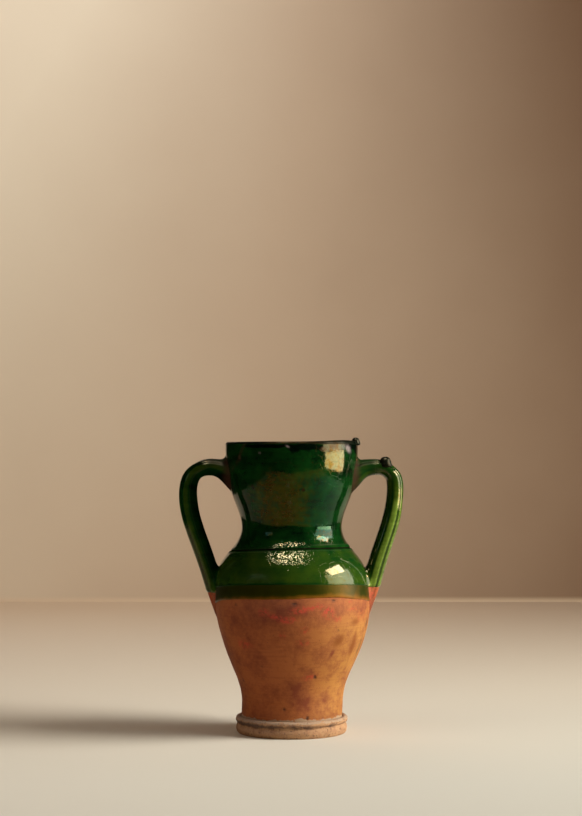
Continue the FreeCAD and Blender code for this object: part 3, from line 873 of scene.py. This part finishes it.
def strap_line(sizes, side):
    """Stations of a strap's middle line: length so far, distance from the axis, height, lean in degrees,
    half thickness and half width."""
    line = wall_line(sizes)
    if side > 0:
        spans = (RIGHT_UPPER_SHARES, RIGHT_LOWER_SHARES)
        thickness, reach = sizes.right_thickness, sizes.right_reach
    else:
        spans = (LEFT_UPPER_SHARES, LEFT_LOWER_SHARES)
        thickness, reach = sizes.left_thickness, sizes.left_reach
    crown, furthest = sizes.lip_height - sizes.crown_drop, sizes.lip_height - sizes.reach_drop
    tail = sizes.belly_height - sizes.tail_drop
    inner = (line.at(np.array(crown)) - sizes.root_sink, line.at(np.array(tail)) - sizes.tail_sink)
    made, gone, last = [], 0.0, None
    for shares, start, low, high in zip(spans, inner, (furthest, tail), (crown, furthest)):
        for out, up, lean, thick, wide in shares:
            spot = (start + out * (reach - start), low + up * (high - low))
            gone += math.dist(spot, last) if last else 0.0
            last = spot
            made.append((gone, *spot, lean, thick * thickness / 2, wide * sizes.handle_width / 2))
    return made


def pressed_to_wall(sizes, middles, offsets):
    """The strap's skin, spread out where it is pressed to the wall and cut off inside the wall."""
    line = wall_line(sizes)
    places = middles + offsets
    radii = np.hypot(places[:, 0], places[:, 1])
    slope = wall_slope(line, places[:, 2], 0.5 * MM)
    slant = np.sqrt(1 + slope**2)
    away = (radii - line.at(places[:, 2])) / slant
    near = np.clip(FILLET - away, 0, FILLET)
    spread = FILLET - np.sqrt(FILLET**2 - near**2)
    lengths = np.maximum(np.linalg.norm(offsets, axis=1), MM)
    upright = np.stack([places[:, 0] / radii, places[:, 1] / radii, -slope], axis=1) / slant[:, None]
    sideways = offsets / lengths[:, None]
    sideways = sideways - upright * np.sum(sideways * upright, axis=1)[:, None]
    places = places + sideways * spread[:, None]
    radii = np.hypot(places[:, 0], places[:, 1])
    deepest = line.at(places[:, 2]) - sizes.wall / 2
    places[:, :2] *= (np.maximum(radii, deepest) / radii)[:, None]
    return places


def rings_of_clay(name, filled):
    """A tube of rings from 1 down to -1 along Z, open or with closed ends, to be bent into a strap."""
    bpy.ops.object.select_all(action="DESELECT")
    bpy.ops.mesh.primitive_cylinder_add(
        vertices=STRAP_STEPS, radius=1, depth=2, end_fill_type="TRIFAN" if filled else "NOTHING"
    )
    piece = bpy.context.active_object
    piece.name = name
    bpy.ops.object.mode_set(mode="EDIT")
    bpy.ops.mesh.select_all(action="DESELECT")
    bpy.ops.mesh.select_mode(type="EDGE")
    shell = bmesh.from_edit_mesh(piece.data)
    for edge in shell.edges:
        edge.select_set(abs(edge.verts[0].co.z - edge.verts[1].co.z) > 1)
    bpy.ops.mesh.subdivide(number_cuts=STRAP_RINGS - 1)
    bpy.ops.object.mode_set(mode="OBJECT")
    return piece


def strap(name, sizes, side, end, grow, filled):
    """A stretch of a strap handle from the neck to a share of its length: a tube of rings, each laid at its
    place on the strap's line and given the strap's fluted section.

    Gives the piece, and for each of its points the share of the stretch and the degrees round the section
    from the middle of its outer side."""
    stations = Curve(strap_line(sizes, side), level=False)
    piece = rings_of_clay(name, filled)
    points = read(piece)
    along = (1 - points[:, 2]) / 2
    turns = np.arctan2(points[:, 1], points[:, 0])
    spread = np.hypot(points[:, 0], points[:, 1])
    # u runs across the strap's thickness, outwards, and v across its width
    u, v = (np.sign(way) * np.abs(way) ** (2 / SQUARENESS) for way in (np.cos(turns), np.sin(turns)))
    gone = stations.x[-1] * end * along
    if end < 1:
        # The glaze ends level, as it was dipped, and not square across the leaning strap
        where = stations.at(gone)
        level = u * where[:, 3] * np.tan(np.radians(where[:, 2]))
        gone = gone + level * rise(0.8, 1, along) * (along > 0.7)
    out, height, lean, thick, wide = stations.at(gone).T
    lean = np.radians(lean)
    from_back = np.abs(np.degrees(turns))
    # The coat thins at its end, behind a slight swelling. The inner side is fuller low down and near the
    # crown, and the right strap's outer side low down
    edge = grow * (1 - 0.7 * bell(along, 1, 0.006) + 0.35 * bell(along, 0.98, 0.010))
    fuller = 1.1 if side < 0 else 0.5
    fuller = (u < 0) * (fuller * rise(0.30, 0.45, along) + 0.7 * bell(along, 0.15, 0.1))
    fuller = MM * (fuller + 1.6 * (u > 0) * (side > 0) * rise(0.40, 0.60, along))
    u = u * (thick + edge + fuller)
    v = v * (wide + edge)
    # Two narrow grooves and a broad hollow between them down the outer side
    groove = 0.75 * MM * bell(from_back, 63, 7) if side > 0 else 0.6 * MM * bell(from_back, 58, 11)
    cut = groove + 0.72 * MM * bell(from_back, 0, 34)
    keep = (1 - cut / np.maximum(np.hypot(u, v), MM)) * spread
    outward = np.stack([np.cos(lean), 0 * lean, np.sin(lean)], axis=1)
    middles = np.stack([out - ROOT_SETBACK * (1 - rise(0, 0.02, along)), 0 * lean, height], axis=1)
    offsets = outward * (u * keep)[:, None] + np.array([0, 1, 0]) * (v * keep)[:, None]
    places = pressed_to_wall(sizes, middles, offsets)
    places[:, 0] *= side
    place(piece, places)
    bpy.ops.object.mode_set(mode="EDIT")
    bpy.ops.mesh.select_all(action="SELECT")
    bpy.ops.mesh.normals_make_consistent(inside=False)
    bpy.ops.object.mode_set(mode="OBJECT")
    return piece, along, from_back


def through(start, middle, end, steps):
    """Points on the arc through three points of the section."""
    (ax, ay), (bx, by), (cx, cy) = start, middle, end
    d = 2 * (ax * (by - cy) + bx * (cy - ay) + cx * (ay - by))
    a, b, c = ax * ax + ay * ay, bx * bx + by * by, cx * cx + cy * cy
    x = (a * (by - cy) + b * (cy - ay) + c * (ay - by)) / d
    y = (a * (cx - bx) + b * (ax - cx) + c * (bx - ax)) / d
    first, last = math.degrees(math.atan2(ay - y, ax - x)), math.degrees(math.atan2(cy - y, cx - x))
    if last < first:
        last += 360
    return arc((x, y), math.hypot(ax - x, ay - y), first, last, steps)


class JAR_OT_foot(bpy.types.Operator):
    """Throws the floor disc with its low band, groove and roll, and lets lime gather in the gutter"""

    bl_idname = "jar.foot"
    bl_label = "Foot"

    def execute(self, context):
        sizes = context.scene.jar_sizes
        edge, top = sizes.foot_radius, sizes.foot_height
        groove = edge - 2.0 * MM
        band = through((edge - 2.8 * MM, 0), (edge - 0.6 * MM, 0.30 * top), (groove, 0.62 * top), 14)
        roll = through((groove, 0.69 * top), (edge, 0.845 * top), (sizes.ankle_radius, top), 16)
        inside = sizes.ankle_radius - 0.8 * MM  # Under the belly, which stands on the disc
        section = [(0, 0), (0.5 * edge, 0), (0.8 * edge, 0)] + band + roll
        section += [(inside, top), (inside, sizes.floor), (0.5 * edge, sizes.floor), (0, sizes.floor)]
        piece = thrown("foot_disc", section, closed=False)
        points = read(piece)
        angles, radii, heights = around(points)
        shown = rise(0.9 * edge, 0.96 * edge, radii)
        give = 0.35 * lumps(points, 0.012, 1) + 0.18 * lumps(points, 0.004, 2)
        radii = radii + shown * MM * (give - 0.30)
        heights = heights + 0.5 * MM * lumps(points, 0.015, 3) * rise(0.4 * top, 0.7 * top, heights) * shown
        place(piece, back_to_points(angles, radii, heights))
        # Dirt and painted shade in the groove under the roll: more on the shaded left, and less on the lit
        # right of the front
        dirt_and_shade, lit_right = bell(turn_between(angles, -170), 0, 0.9), bell(turn_between(angles, -30), 0, 0.7)
        paint(piece, "lime", 0.64 * rise(0.86 * top, 0.97 * top, heights))
        paint(piece, "groove_dirt_and_shade", bell(heights, 0.75 * top, 0.16 * top) * (0.75 + 0.35 * dirt_and_shade - 0.25 * lit_right))
        finish_piece(piece, moulded_foot_clay(context.scene.jar_clay), ["foot"])
        return {"FINISHED"}


class JAR_OT_belly(bpy.types.Operator):
    """Throws the belly from the floor to the incised line"""

    bl_idname = "jar.belly"
    bl_label = "Belly"

    def execute(self, context):
        sizes = context.scene.jar_sizes
        seam, glazed = sizes.seam_height, sizes.belly_height + 30 * MM
        bare = up_wall(sizes, sizes.floor, glazed, 1.5 * MM)
        hidden = up_wall(sizes, glazed, seam - 3 * MM, 4 * MM)[1:]
        hidden += up_wall(sizes, seam - 1.5 * MM, seam, 2 * MM, -STEP_IN)
        inside = up_wall(sizes, seam, sizes.floor + sizes.cove, 5 * MM, -sizes.wall)
        section = bare + hidden + inside + arc(cove_middle(sizes), sizes.cove, 0, -90, 6)[1:]
        piece = thrown("belly_clay", section, closed=True)
        points = read(piece)
        outside = np.hypot(points[:, 0], points[:, 1]) > wall_line(sizes).at(points[:, 2]) - MM
        places = leaned(points)
        angles, radii, heights = around(places)
        uneven = 0.22 * lumps(places, 0.030, 11) + 0.10 * lumps(places, 0.008, 12) - 0.16
        radii = radii + outside * MM * uneven
        place(piece, back_to_points(angles, radii, heights))
        front = from_front(angles)
        for name, marks in {"rub": RUBS, "stain": STAINS, "pit": PITS, "blotch": BLOTCHES}.items():
            paint(piece, name, marked(places, marks))
        # Painted light: yellower, lighter clay round the right, where the key lamps fall, fading out
        # towards the glaze
        paint(piece, "warm", bell(front, 62, 44) * (1 - 0.8 * rise(0.104, 0.134, heights)))
        gutter = sizes.foot_height + MM * (2.4 + 2.2 * bell(front, 8, 7))
        paint(piece, "lime", 1 - rise(gutter - 2 * MM, gutter + 2.5 * MM, heights))
        finish_piece(piece, thrown_terracotta(context.scene.jar_clay), ["belly"])
        return {"FINISHED"}


class JAR_OT_neck(bpy.types.Operator):
    """Throws the neck and its rolled lip"""

    bl_idname = "jar.neck"
    bl_label = "Neck"

    def execute(self, context):
        sizes = context.scene.jar_sizes
        seam, lip = sizes.seam_height, sizes.lip_height
        section = up_wall(sizes, seam, seam + 1.5 * MM, 2 * MM, -STEP_IN)
        section += up_wall(sizes, seam + 3 * MM, lip - 0.5 * MM, 3 * MM)
        section += lip_edge(sizes, 0.0, 0, 90) + lip_edge(sizes, 0.0, 90, 180)
        section += up_wall(sizes, lip - MM, seam, 4 * MM, -sizes.wall)
        piece = thrown("neck_clay", section, closed=True)
        place(piece, leaned(read(piece)))
        finish_piece(piece, bpy.data.materials["thrown_terracotta"], ["neck"])
        return {"FINISHED"}


class JAR_OT_green_coat(bpy.types.Operator):
    """Dips the neck and shoulder in green glaze, down to its rounded edge"""

    bl_idname = "jar.green_coat"
    bl_label = "Green coat"

    def execute(self, context):
        sizes, glaze = context.scene.jar_sizes, context.scene.jar_glaze
        low, seam = sizes.belly_height + glaze.coat_edge_rise, sizes.seam_height
        piece = thrown("green_coat_glaze", self.section(sizes, glaze.coat, low, seam), closed=True)
        line, points = wall_line(sizes), read(piece)
        heights = points[:, 2]
        outside = np.hypot(points[:, 0], points[:, 1]) > line.at(heights)
        places = leaned(points)
        angles, radii, lifted = around(places)
        front = from_front(angles)
        # The edge wavers, and lies lowest at the left handle
        wave = 0.35 * waver(angles, 21) - 2.4 - 1.6 * bell(front, -80, 26)
        lowered = wave * MM * (1 - rise(low, low + 14 * MM, heights))
        radii = radii + line.at(lifted + lowered) - line.at(lifted)
        lifted = lifted + lowered
        uneven = 0.20 * lumps(places, 0.034, 22) + 0.07 * lumps(places, 0.010, 23) - 0.04
        radii = radii + outside * rise(low, low + 3 * MM, heights) * MM * uneven
        places = back_to_points(angles, radii, lifted)
        place(piece, places)
        self.paint_finish(piece, places, angles, heights, low, seam)
        finish_piece(piece, green_lead_glaze(glaze, context.scene.jar_clay), ["green_coat"])
        return {"FINISHED"}

    def section(self, sizes, coat, low, seam):
        """Half section of the coat: up the outside, over the lip and back down inside the clay's face."""
        collar = sizes.collar_height
        section = glaze_edge(sizes, low, coat, COAT_EDGE)
        section += up_wall(sizes, low + 4 * MM, seam - 2.4 * MM, 1.3 * MM, coat)
        for step in range(-7, 8):
            depth = -SEAM_DEPTH * math.cos(math.pi * step / 16) ** 2
            section.append(wall_point(sizes, seam + step * SEAM_STEP, coat + depth))
        section += up_wall(sizes, seam + 2.4 * MM, collar - 5 * MM, 1.3 * MM, coat)
        section += up_wall(sizes, collar - 4.4 * MM, sizes.lip_height - 0.2 * MM, 0.6 * MM, coat)
        section += lip_edge(sizes, coat, 0, 90)
        crest_radius, crest_height = section[-1]
        crest_radius -= 1.2 * MM
        section += [(crest_radius, crest_height), (crest_radius, crest_height - coat - BEDDED)]
        section += lip_edge(sizes, -BEDDED, 0, 90)[::-1]
        return section + up_wall(sizes, collar, low + MM, 5 * MM, -BEDDED)

    def paint_finish(self, piece, places, angles, heights, low, seam):
        """Says for each point how thick, worn, tinted, dimpled and dull the glaze is, and where pale
        highlights are painted.

        The heights are those before the piece was leaned, in which the incised line and the coat's edge are
        level."""
        front, lifted = from_front(angles), places[:, 2]
        # Thicker up the neck, in the incised line, in the drips, at the edge and round the lip; the black
        # band under the lip is partly pooled glaze and partly painted shade under its roll
        depth = 0.44 + 0.26 * rise(seam - 14 * MM, seam + 16 * MM, heights)
        depth += 0.35 * bell(heights, seam, 0.8 * MM)
        wavering = np.outer(lumps(places, 0.009, 24), (0, 0, 1.6 * MM))
        depth += marked(places + wavering, BLACK_GLAZE_AND_LIP_SHADE) + 0.25 * bell(heights, low + 0.8 * MM, MM)
        depth += 0.28 * rise(*LIP_POOL, lifted) * (1 - rise(20, 34, front))
        depth += 0.5 * rise(*LIP_POOL_RIGHT, lifted) * bell(front, 62, 30)
        depth -= 0.06 * (1 - rise(low, low + 14 * MM, heights))
        # Worn brown on edges, in the incised line, round the handles' roots and in one streak below the lip
        rust = marked(places, WORN_EDGES) + 0.15 * bell(heights, seam, 0.7 * MM)
        for side in (0, 180):
            turned = np.degrees(turn_between(angles, side))
            rust += 0.6 * bell(turned, 0, 14) * bell(heights, ROOT_HEIGHT, 12 * MM)
        streak = -43 - 14.5 * (0.287 - lifted) / 0.024
        rust += 0.5 * bell(front, streak, 1.8) * rise(*LIP_STREAK, lifted)
        # Painted reflection colour, laid by place round the front: about 0.3 amber, 0.6 slate and 0.95 sea
        reflection_tint = 0.3 + 0.3 * (1 - rise(-50, -6, front))
        reflection_tint = reflection_tint + 0.6 * rise(-4, 44, front) * (1 - rise(0.250, 0.262, lifted))
        reflection_tint -= 0.2 * rise(18, 30, front) * rise(0.254, 0.264, lifted)
        reflection_tint *= rise(*REFLECTION_TINT_STARTS, lifted) * (1 - rise(95, 135, np.abs(front)))
        reflection_tint += 0.6 * rise(*WAIST_REFLECTION_TINT, lifted) * (1 - rise(*REFLECTION_TINT_STARTS, lifted))
        dimple = bell(front, 0, 26) * bell(heights, seam - 4 * MM, 12 * MM)
        # Dull at the incised line, in a rub on the shoulder, at the edge and along the lip
        matt = 1.2 * bell(heights, seam - 0.4 * MM, 2.2 * MM)
        matt += bell(heights, seam + 2.4 * MM, 1.8 * MM) * rise(14, 22, front)
        matt += 0.95 * bell(front, -25, 12) * bell(lifted, 0.152, 8 * MM)
        matt += 0.9 * (1 - rise(low, low + 1.6 * MM, heights))
        matt += rise(*LIP_WEAR, lifted) * (0.8 + 0.3 * lumps(places, 0.011, 25))
        paint(piece, "reflection_tint", reflection_tint - 0.12 * dimple)
        paint(piece, "dimple", np.clip(1.8 * dimple, 0, 1))
        paint(piece, "matt", matt)
        paint(piece, "depth", depth)
        paint(piece, "rust", np.clip(rust, 0, 1))
        # Pale spots painted as highlights on the lip, with a rougher finish there
        paint(piece, "bare", marked(places, PALE_SPOTS_AND_HIGHLIGHTS))


class JAR_OT_olive_bands(bpy.types.Operator):
    """Leaves the first, thinner dip showing below the green, in front of the handles and behind them"""

    bl_idname = "jar.olive_bands"
    bl_label = "Olive bands"

    def execute(self, context):
        sizes, glaze = context.scene.jar_sizes, context.scene.jar_glaze
        top = sizes.belly_height + glaze.coat_edge_rise + 3 * MM
        low = sizes.belly_height + glaze.coat_edge_rise - glaze.band_width
        band = glaze.band
        section = glaze_edge(sizes, low, band, BAND_EDGE)
        section += up_wall(sizes, low + 3 * MM, top, 1.2 * MM, band)
        section += up_wall(sizes, top, low + MM, 4 * MM, -0.5 * band)
        material = olive_wash_glaze(glaze, context.scene.jar_clay)
        for side, name in ((-1, "front"), (1, "back")):
            piece = thrown("olive_" + name + "_glaze", section, closed=True)
            bpy.ops.object.mode_set(mode="EDIT")
            bpy.ops.mesh.select_all(action="SELECT")
            bpy.ops.mesh.bisect(
                plane_co=(0, 0, 0),
                plane_no=(0, side, 0),
                use_fill=True,
                clear_inner=True,
                threshold=0.01 * MM,
            )
            bpy.ops.object.mode_set(mode="OBJECT")
            points = read(piece)
            heights = points[:, 2]
            outside = np.hypot(points[:, 0], points[:, 1]) > wall_line(sizes).at(heights)
            places = leaned(points)
            angles, radii, lifted = around(places)
            front = from_front(angles)
            # The edge wavers, hangs at both handles and stands higher to the right of the front
            wave = 0.6 * waver(angles, 31) - 0.4 + 1.8 * bell(front, 33, 22)
            wave = wave - 3.0 * bell(front, -80, 12) - 1.2 * bell(front, 82, 18)
            lifted = lifted + MM * wave * (1 - rise(low, top - 3 * MM, heights))
            radii = radii + outside * MM * (0.08 * lumps(places, 0.012, 32) - 0.05)
            place(piece, back_to_points(angles, radii, lifted))
            # The glaze thins towards its edge, most of all to the right
            edge = 0.10 + 0.26 * (1 - rise(-60, 30, front))
            body = 0.62 - 0.16 * bell(front, 52, 26)
            paint(piece, "depth", edge + (body - edge) * rise(low - MM, low + 6 * MM, heights))
            finish_piece(piece, material, ["olive_band_" + name])
        return {"FINISHED"}


class JAR_OT_lining(bpy.types.Operator):
    """Pours the glaze that lines the jar, up to the inner half of the lip"""

    bl_idname = "jar.lining"
    bl_label = "Lining"

    def execute(self, context):
        sizes = context.scene.jar_sizes
        corner, floor = cove_middle(sizes), sizes.floor
        middle, bottom, top = 0.5 * corner[0], corner[1] + 2 * MM, sizes.lip_height - MM
        section = [(0, floor + LINING), (middle, floor + LINING)]
        section += arc(corner, sizes.cove - LINING, -90, 0, 8)
        section += up_wall(sizes, bottom, top, 3 * MM, -sizes.wall - LINING)
        section += lip_edge(sizes, LINING, 90, 180)[::-1]
        crest_radius, crest_height = section[-1]
        crest_radius += 1.4 * MM
        section += [(crest_radius, crest_height), (crest_radius, crest_height - LINING - BEDDED)]
        section += lip_edge(sizes, -BEDDED, 90, 180)
        section += up_wall(sizes, top, bottom, 5 * MM, -sizes.wall + BEDDED)
        section += arc(corner, sizes.cove + BEDDED, 0, -90, 6)
        section += [(middle, floor - BEDDED), (0, floor - BEDDED)]
        piece = thrown("lining_glaze", section, closed=False)
        points = read(piece)
        place(piece, leaned(points))
        over_lip = rise(sizes.lip_height, sizes.lip_height + 2.5 * MM, points[:, 2])
        paint(piece, "depth", 0.45 - 0.30 * over_lip)
        finish_piece(piece, bpy.data.materials["green_lead_glaze"], ["glaze_lining"])
        return {"FINISHED"}


class JAR_OT_straps(bpy.types.Operator):
    """Pulls the two strap handles and dips them with the neck"""

    bl_idname = "jar.straps"
    bl_label = "Strap handles"

    def execute(self, context):
        sizes, glaze = context.scene.jar_sizes, context.scene.jar_glaze
        terracotta, green = (bpy.data.materials[name] for name in ("thrown_terracotta", "green_lead_glaze"))
        for name, (side, dipped) in STRAPS.items():
            clay, _, _ = strap(name + "_strap_clay", sizes, side, 1.0, 0.0, True)
            heights = read(clay)[:, 2]
            paint(clay, "blotch", bell(heights, 0.11, 0.03))
            paint(clay, "rub", 0.45 * bell(heights, 0.140, 0.010))
            finish_piece(clay, terracotta, [name + "_handle"])
            coat, along, turned = strap(name + "_strap_glaze", sizes, side, dipped, glaze.coat, False)
            # The glaze ran thin over the ridges beside the grooves, and gathered near the neck. The right
            # strap's ridges are painted much lighter than the left strap's: partly thin glaze, partly
            # painted light on the strap that the key lamps light
            if side > 0:
                # Painted light: the lit right strap's ridges, lighter than the shaded left strap's
                ridge = rise(64, 70, turned) * (1 - rise(94, 108, turned))
                ridge += 0.8 * (1 - rise(53, 61, turned))
                ridge *= 0.2 + 0.8 * rise(0.25, 0.5, along)
                depth = 0.62 - 0.24 * rise(106, 118, turned) + 0.1 * bell(turned, 62, 5) - 0.60 * ridge
            else:
                ridge = rise(62, 74, turned) * (1 - rise(88, 106, turned))
                ridge += 0.7 * (1 - rise(36, 50, turned))
                depth = 0.72 - 0.34 * ridge
            paint(coat, "depth", depth + 0.2 * (1 - rise(0.0, 0.10, along)))
            # The crowns are dull, and so is the left strap's inner side
            crown = 0.9 * (1 - rise(0.12, 0.20, along))
            paint(coat, "matt", crown + rise(96, 110, turned) * (side < 0))
            paint(coat, "rust", 0.8 * (1 - rise(0.01, 0.07, along)))
            shell = coat.modifiers.new("coat", "SOLIDIFY")
            shell.thickness = glaze.coat + BEDDED
            shell.offset = -1
            bpy.ops.object.modifier_apply(modifier=shell.name)
            finish_piece(coat, green, [name + "_handle_coat"])
        return {"FINISHED"}


class JAR_OT_beads(bpy.types.Operator):
    """Lets two drops of glaze stand on the lip and on the right handle's crown"""

    bl_idname = "jar.beads"
    bl_label = "Beads of glaze"

    def execute(self, context):
        for name, (middle, size) in BEADS.items():
            bpy.ops.object.select_all(action="DESELECT")
            rings = BEAD_STEPS // 2
            bpy.ops.mesh.primitive_uv_sphere_add(segments=BEAD_STEPS, ring_count=rings, radius=0.5)
            piece = bpy.context.active_object
            piece.name = name + "_glaze"
            points = read(piece)
            points *= (1 + 0.10 * lumps(points, 0.45, 41))[:, None]
            # Wider below, where the drop lies on what it stands on
            skirt = 1 + 0.45 * rise(0.05, -0.45, points[:, 2])
            points[:, :2] *= skirt[:, None]
            place(piece, points * np.array(size) * MM + np.array(middle) * MM)
            paint(piece, "depth", np.full(len(points), 1.2))
            paint(piece, "matt", np.full(len(points), 0.7))
            finish_piece(piece, bpy.data.materials["green_lead_glaze"], [name])
        return {"FINISHED"}


class JAR_OT_stage(bpy.types.Operator):
    """Sets the camera, the pale table and backdrop, and the soft lamps"""

    bl_idname = "jar.stage"
    bl_label = "Stage"

    def execute(self, context):
        stage = context.scene.jar_stage
        self.table(stage)
        self.lamps(stage)
        self.room(context.scene, stage)
        self.camera(context.scene, stage)
        context.scene.view_settings.view_transform = "Standard"
        return {"FINISHED"}

    def table(self, stage):
        """The sheet that the jar stands on, and more of it round about, for the views from elsewhere."""
        sweep = self.sheet_of_paper("table_and_backdrop", *SWEEP)
        paper = painted_backdrop("painted_backdrop", stage)
        beyond = [self.sheet_of_paper(name, *stretch) for name, stretch in BEYOND.items()]
        for piece in (sweep, *beyond):
            piece.data.materials.append(paper)
        for piece in beyond:
            piece.visible_glossy = piece.visible_shadow = False

    def sheet_of_paper(self, name, across, along):
        """A level sheet, which turns up into the backdrop where it reaches that far back."""
        bpy.ops.object.select_all(action="DESELECT")
        bpy.ops.mesh.primitive_plane_add(size=1)
        sheet = bpy.context.active_object
        sheet.name = name
        bpy.ops.object.mode_set(mode="EDIT")
        size = (across[1] - across[0], along[1] - along[0], 1)
        bpy.ops.transform.resize(value=size, center_override=(0, 0, 0))
        bpy.ops.transform.translate(value=(sum(across) / 2, sum(along) / 2, 0))
        if along[1] > BEHIND:
            bpy.ops.mesh.select_mode(type="EDGE")
            shell = bmesh.from_edit_mesh(sheet.data)
            for edge in shell.edges:
                edge.select_set(min(v.co.y for v in edge.verts) > BEHIND)
            bpy.ops.mesh.extrude_edges_move(TRANSFORM_OT_translate={"value": (0, 0, BACKDROP_RISE)})
        bpy.ops.object.mode_set(mode="OBJECT")
        return sheet

    def lamps(self, stage):
        """Soft rectangular lamps, each one turned to what it faces."""
        for name, setting in LAMPS.items():
            azimuth, elevation, distance, width, height, watts, tint, spread, aim, unseen = setting
            bpy.ops.object.select_all(action="DESELECT")
            side, up = math.radians(azimuth), math.radians(elevation)
            away = Vector((math.sin(side) * math.cos(up), -math.cos(side) * math.cos(up), math.sin(up)))
            bpy.ops.object.light_add(type="AREA", location=away * distance + aim)
            made = bpy.context.active_object
            made.name = name
            made.rotation_euler = away.to_track_quat("Z", "Y").to_euler()
            made.data.shape = "RECTANGLE"
            made.data.size, made.data.size_y = width, height
            made.data.energy, made.data.color = watts * stage.key, tint
            made.data.spread = math.radians(spread)
            for rays in ("visible_camera", unseen):
                if rays:
                    setattr(made, rays, False)

    def room(self, scene, stage):
        """The room around: pale to the camera, warm as light and dark in reflections."""
        world = bpy.data.worlds.new("room")
        scene.world = world
        world.use_nodes = True
        tree = world.node_tree
        tree.nodes.clear()
        rays = put(tree, "LightPath", out="Is Camera Ray")
        gloss = rays.node.outputs["Is Glossy Ray"]
        lit = {0: gloss, 6: stage.room_light, 7: stage.room_reflected}
        lit = put(tree, "Mix", lit, data_type="RGBA", out=2)
        seen = put(tree, "Mix", {0: rays, 6: lit, 7: stage.room_seen}, data_type="RGBA", out=2)
        put(tree, "OutputWorld", {"Surface": put(tree, "Background", {"Color": seen, "Strength": 1.0})})

    def camera(self, scene, stage):
        """The camera in front of the jar, a little lower than its lip and tilted up."""
        bpy.ops.object.select_all(action="DESELECT")
        spot = (CAMERA_ASIDE, -stage.distance, stage.eye_height)
        bpy.ops.object.camera_add(location=spot, rotation=(math.radians(90) + stage.pitch, 0, 0))
        camera = bpy.context.active_object
        camera.name = "camera"
        camera.data.lens = stage.lens
        camera.data.dof.use_dof = False
        scene.camera = camera


STEPS = [
    JAR_OT_foot,
    JAR_OT_belly,
    JAR_OT_neck,
    JAR_OT_green_coat,
    JAR_OT_olive_bands,
    JAR_OT_lining,
    JAR_OT_straps,
    JAR_OT_beads,
    JAR_OT_stage,
]


class JAR_PT_panel(bpy.types.Panel):
    """The jar's steps and sizes in the sidebar"""

    bl_label = "Glazed two-handled jar"
    bl_idname = "JAR_PT_panel"
    bl_space_type = "VIEW_3D"
    bl_region_type = "UI"
    bl_category = "Jar"

    def draw(self, context):
        for step in STEPS:
            self.layout.operator(step.bl_idname)
        for name in GROUPS:
            group = getattr(context.scene, name)
            box = self.layout.box()
            for key in group.__annotations__:
                box.prop(group, key)


GROUPS = {"jar_sizes": JarSizes, "jar_glaze": JarGlaze, "jar_clay": JarClay, "jar_stage": JarStage}


def register():
    for kind in (*GROUPS.values(), *STEPS, JAR_PT_panel):
        bpy.utils.register_class(kind)
    for name, kind in GROUPS.items():
        setattr(bpy.types.Scene, name, bpy.props.PointerProperty(type=kind))


def unregister():
    for name in GROUPS:
        delattr(bpy.types.Scene, name)
    for kind in reversed((*GROUPS.values(), *STEPS, JAR_PT_panel)):
        bpy.utils.unregister_class(kind)


def main():
    register()
    for step in STEPS:
        family, name = step.bl_idname.split(".")
        getattr(getattr(bpy.ops, family), name)()


if __name__ == "__main__":
    main()
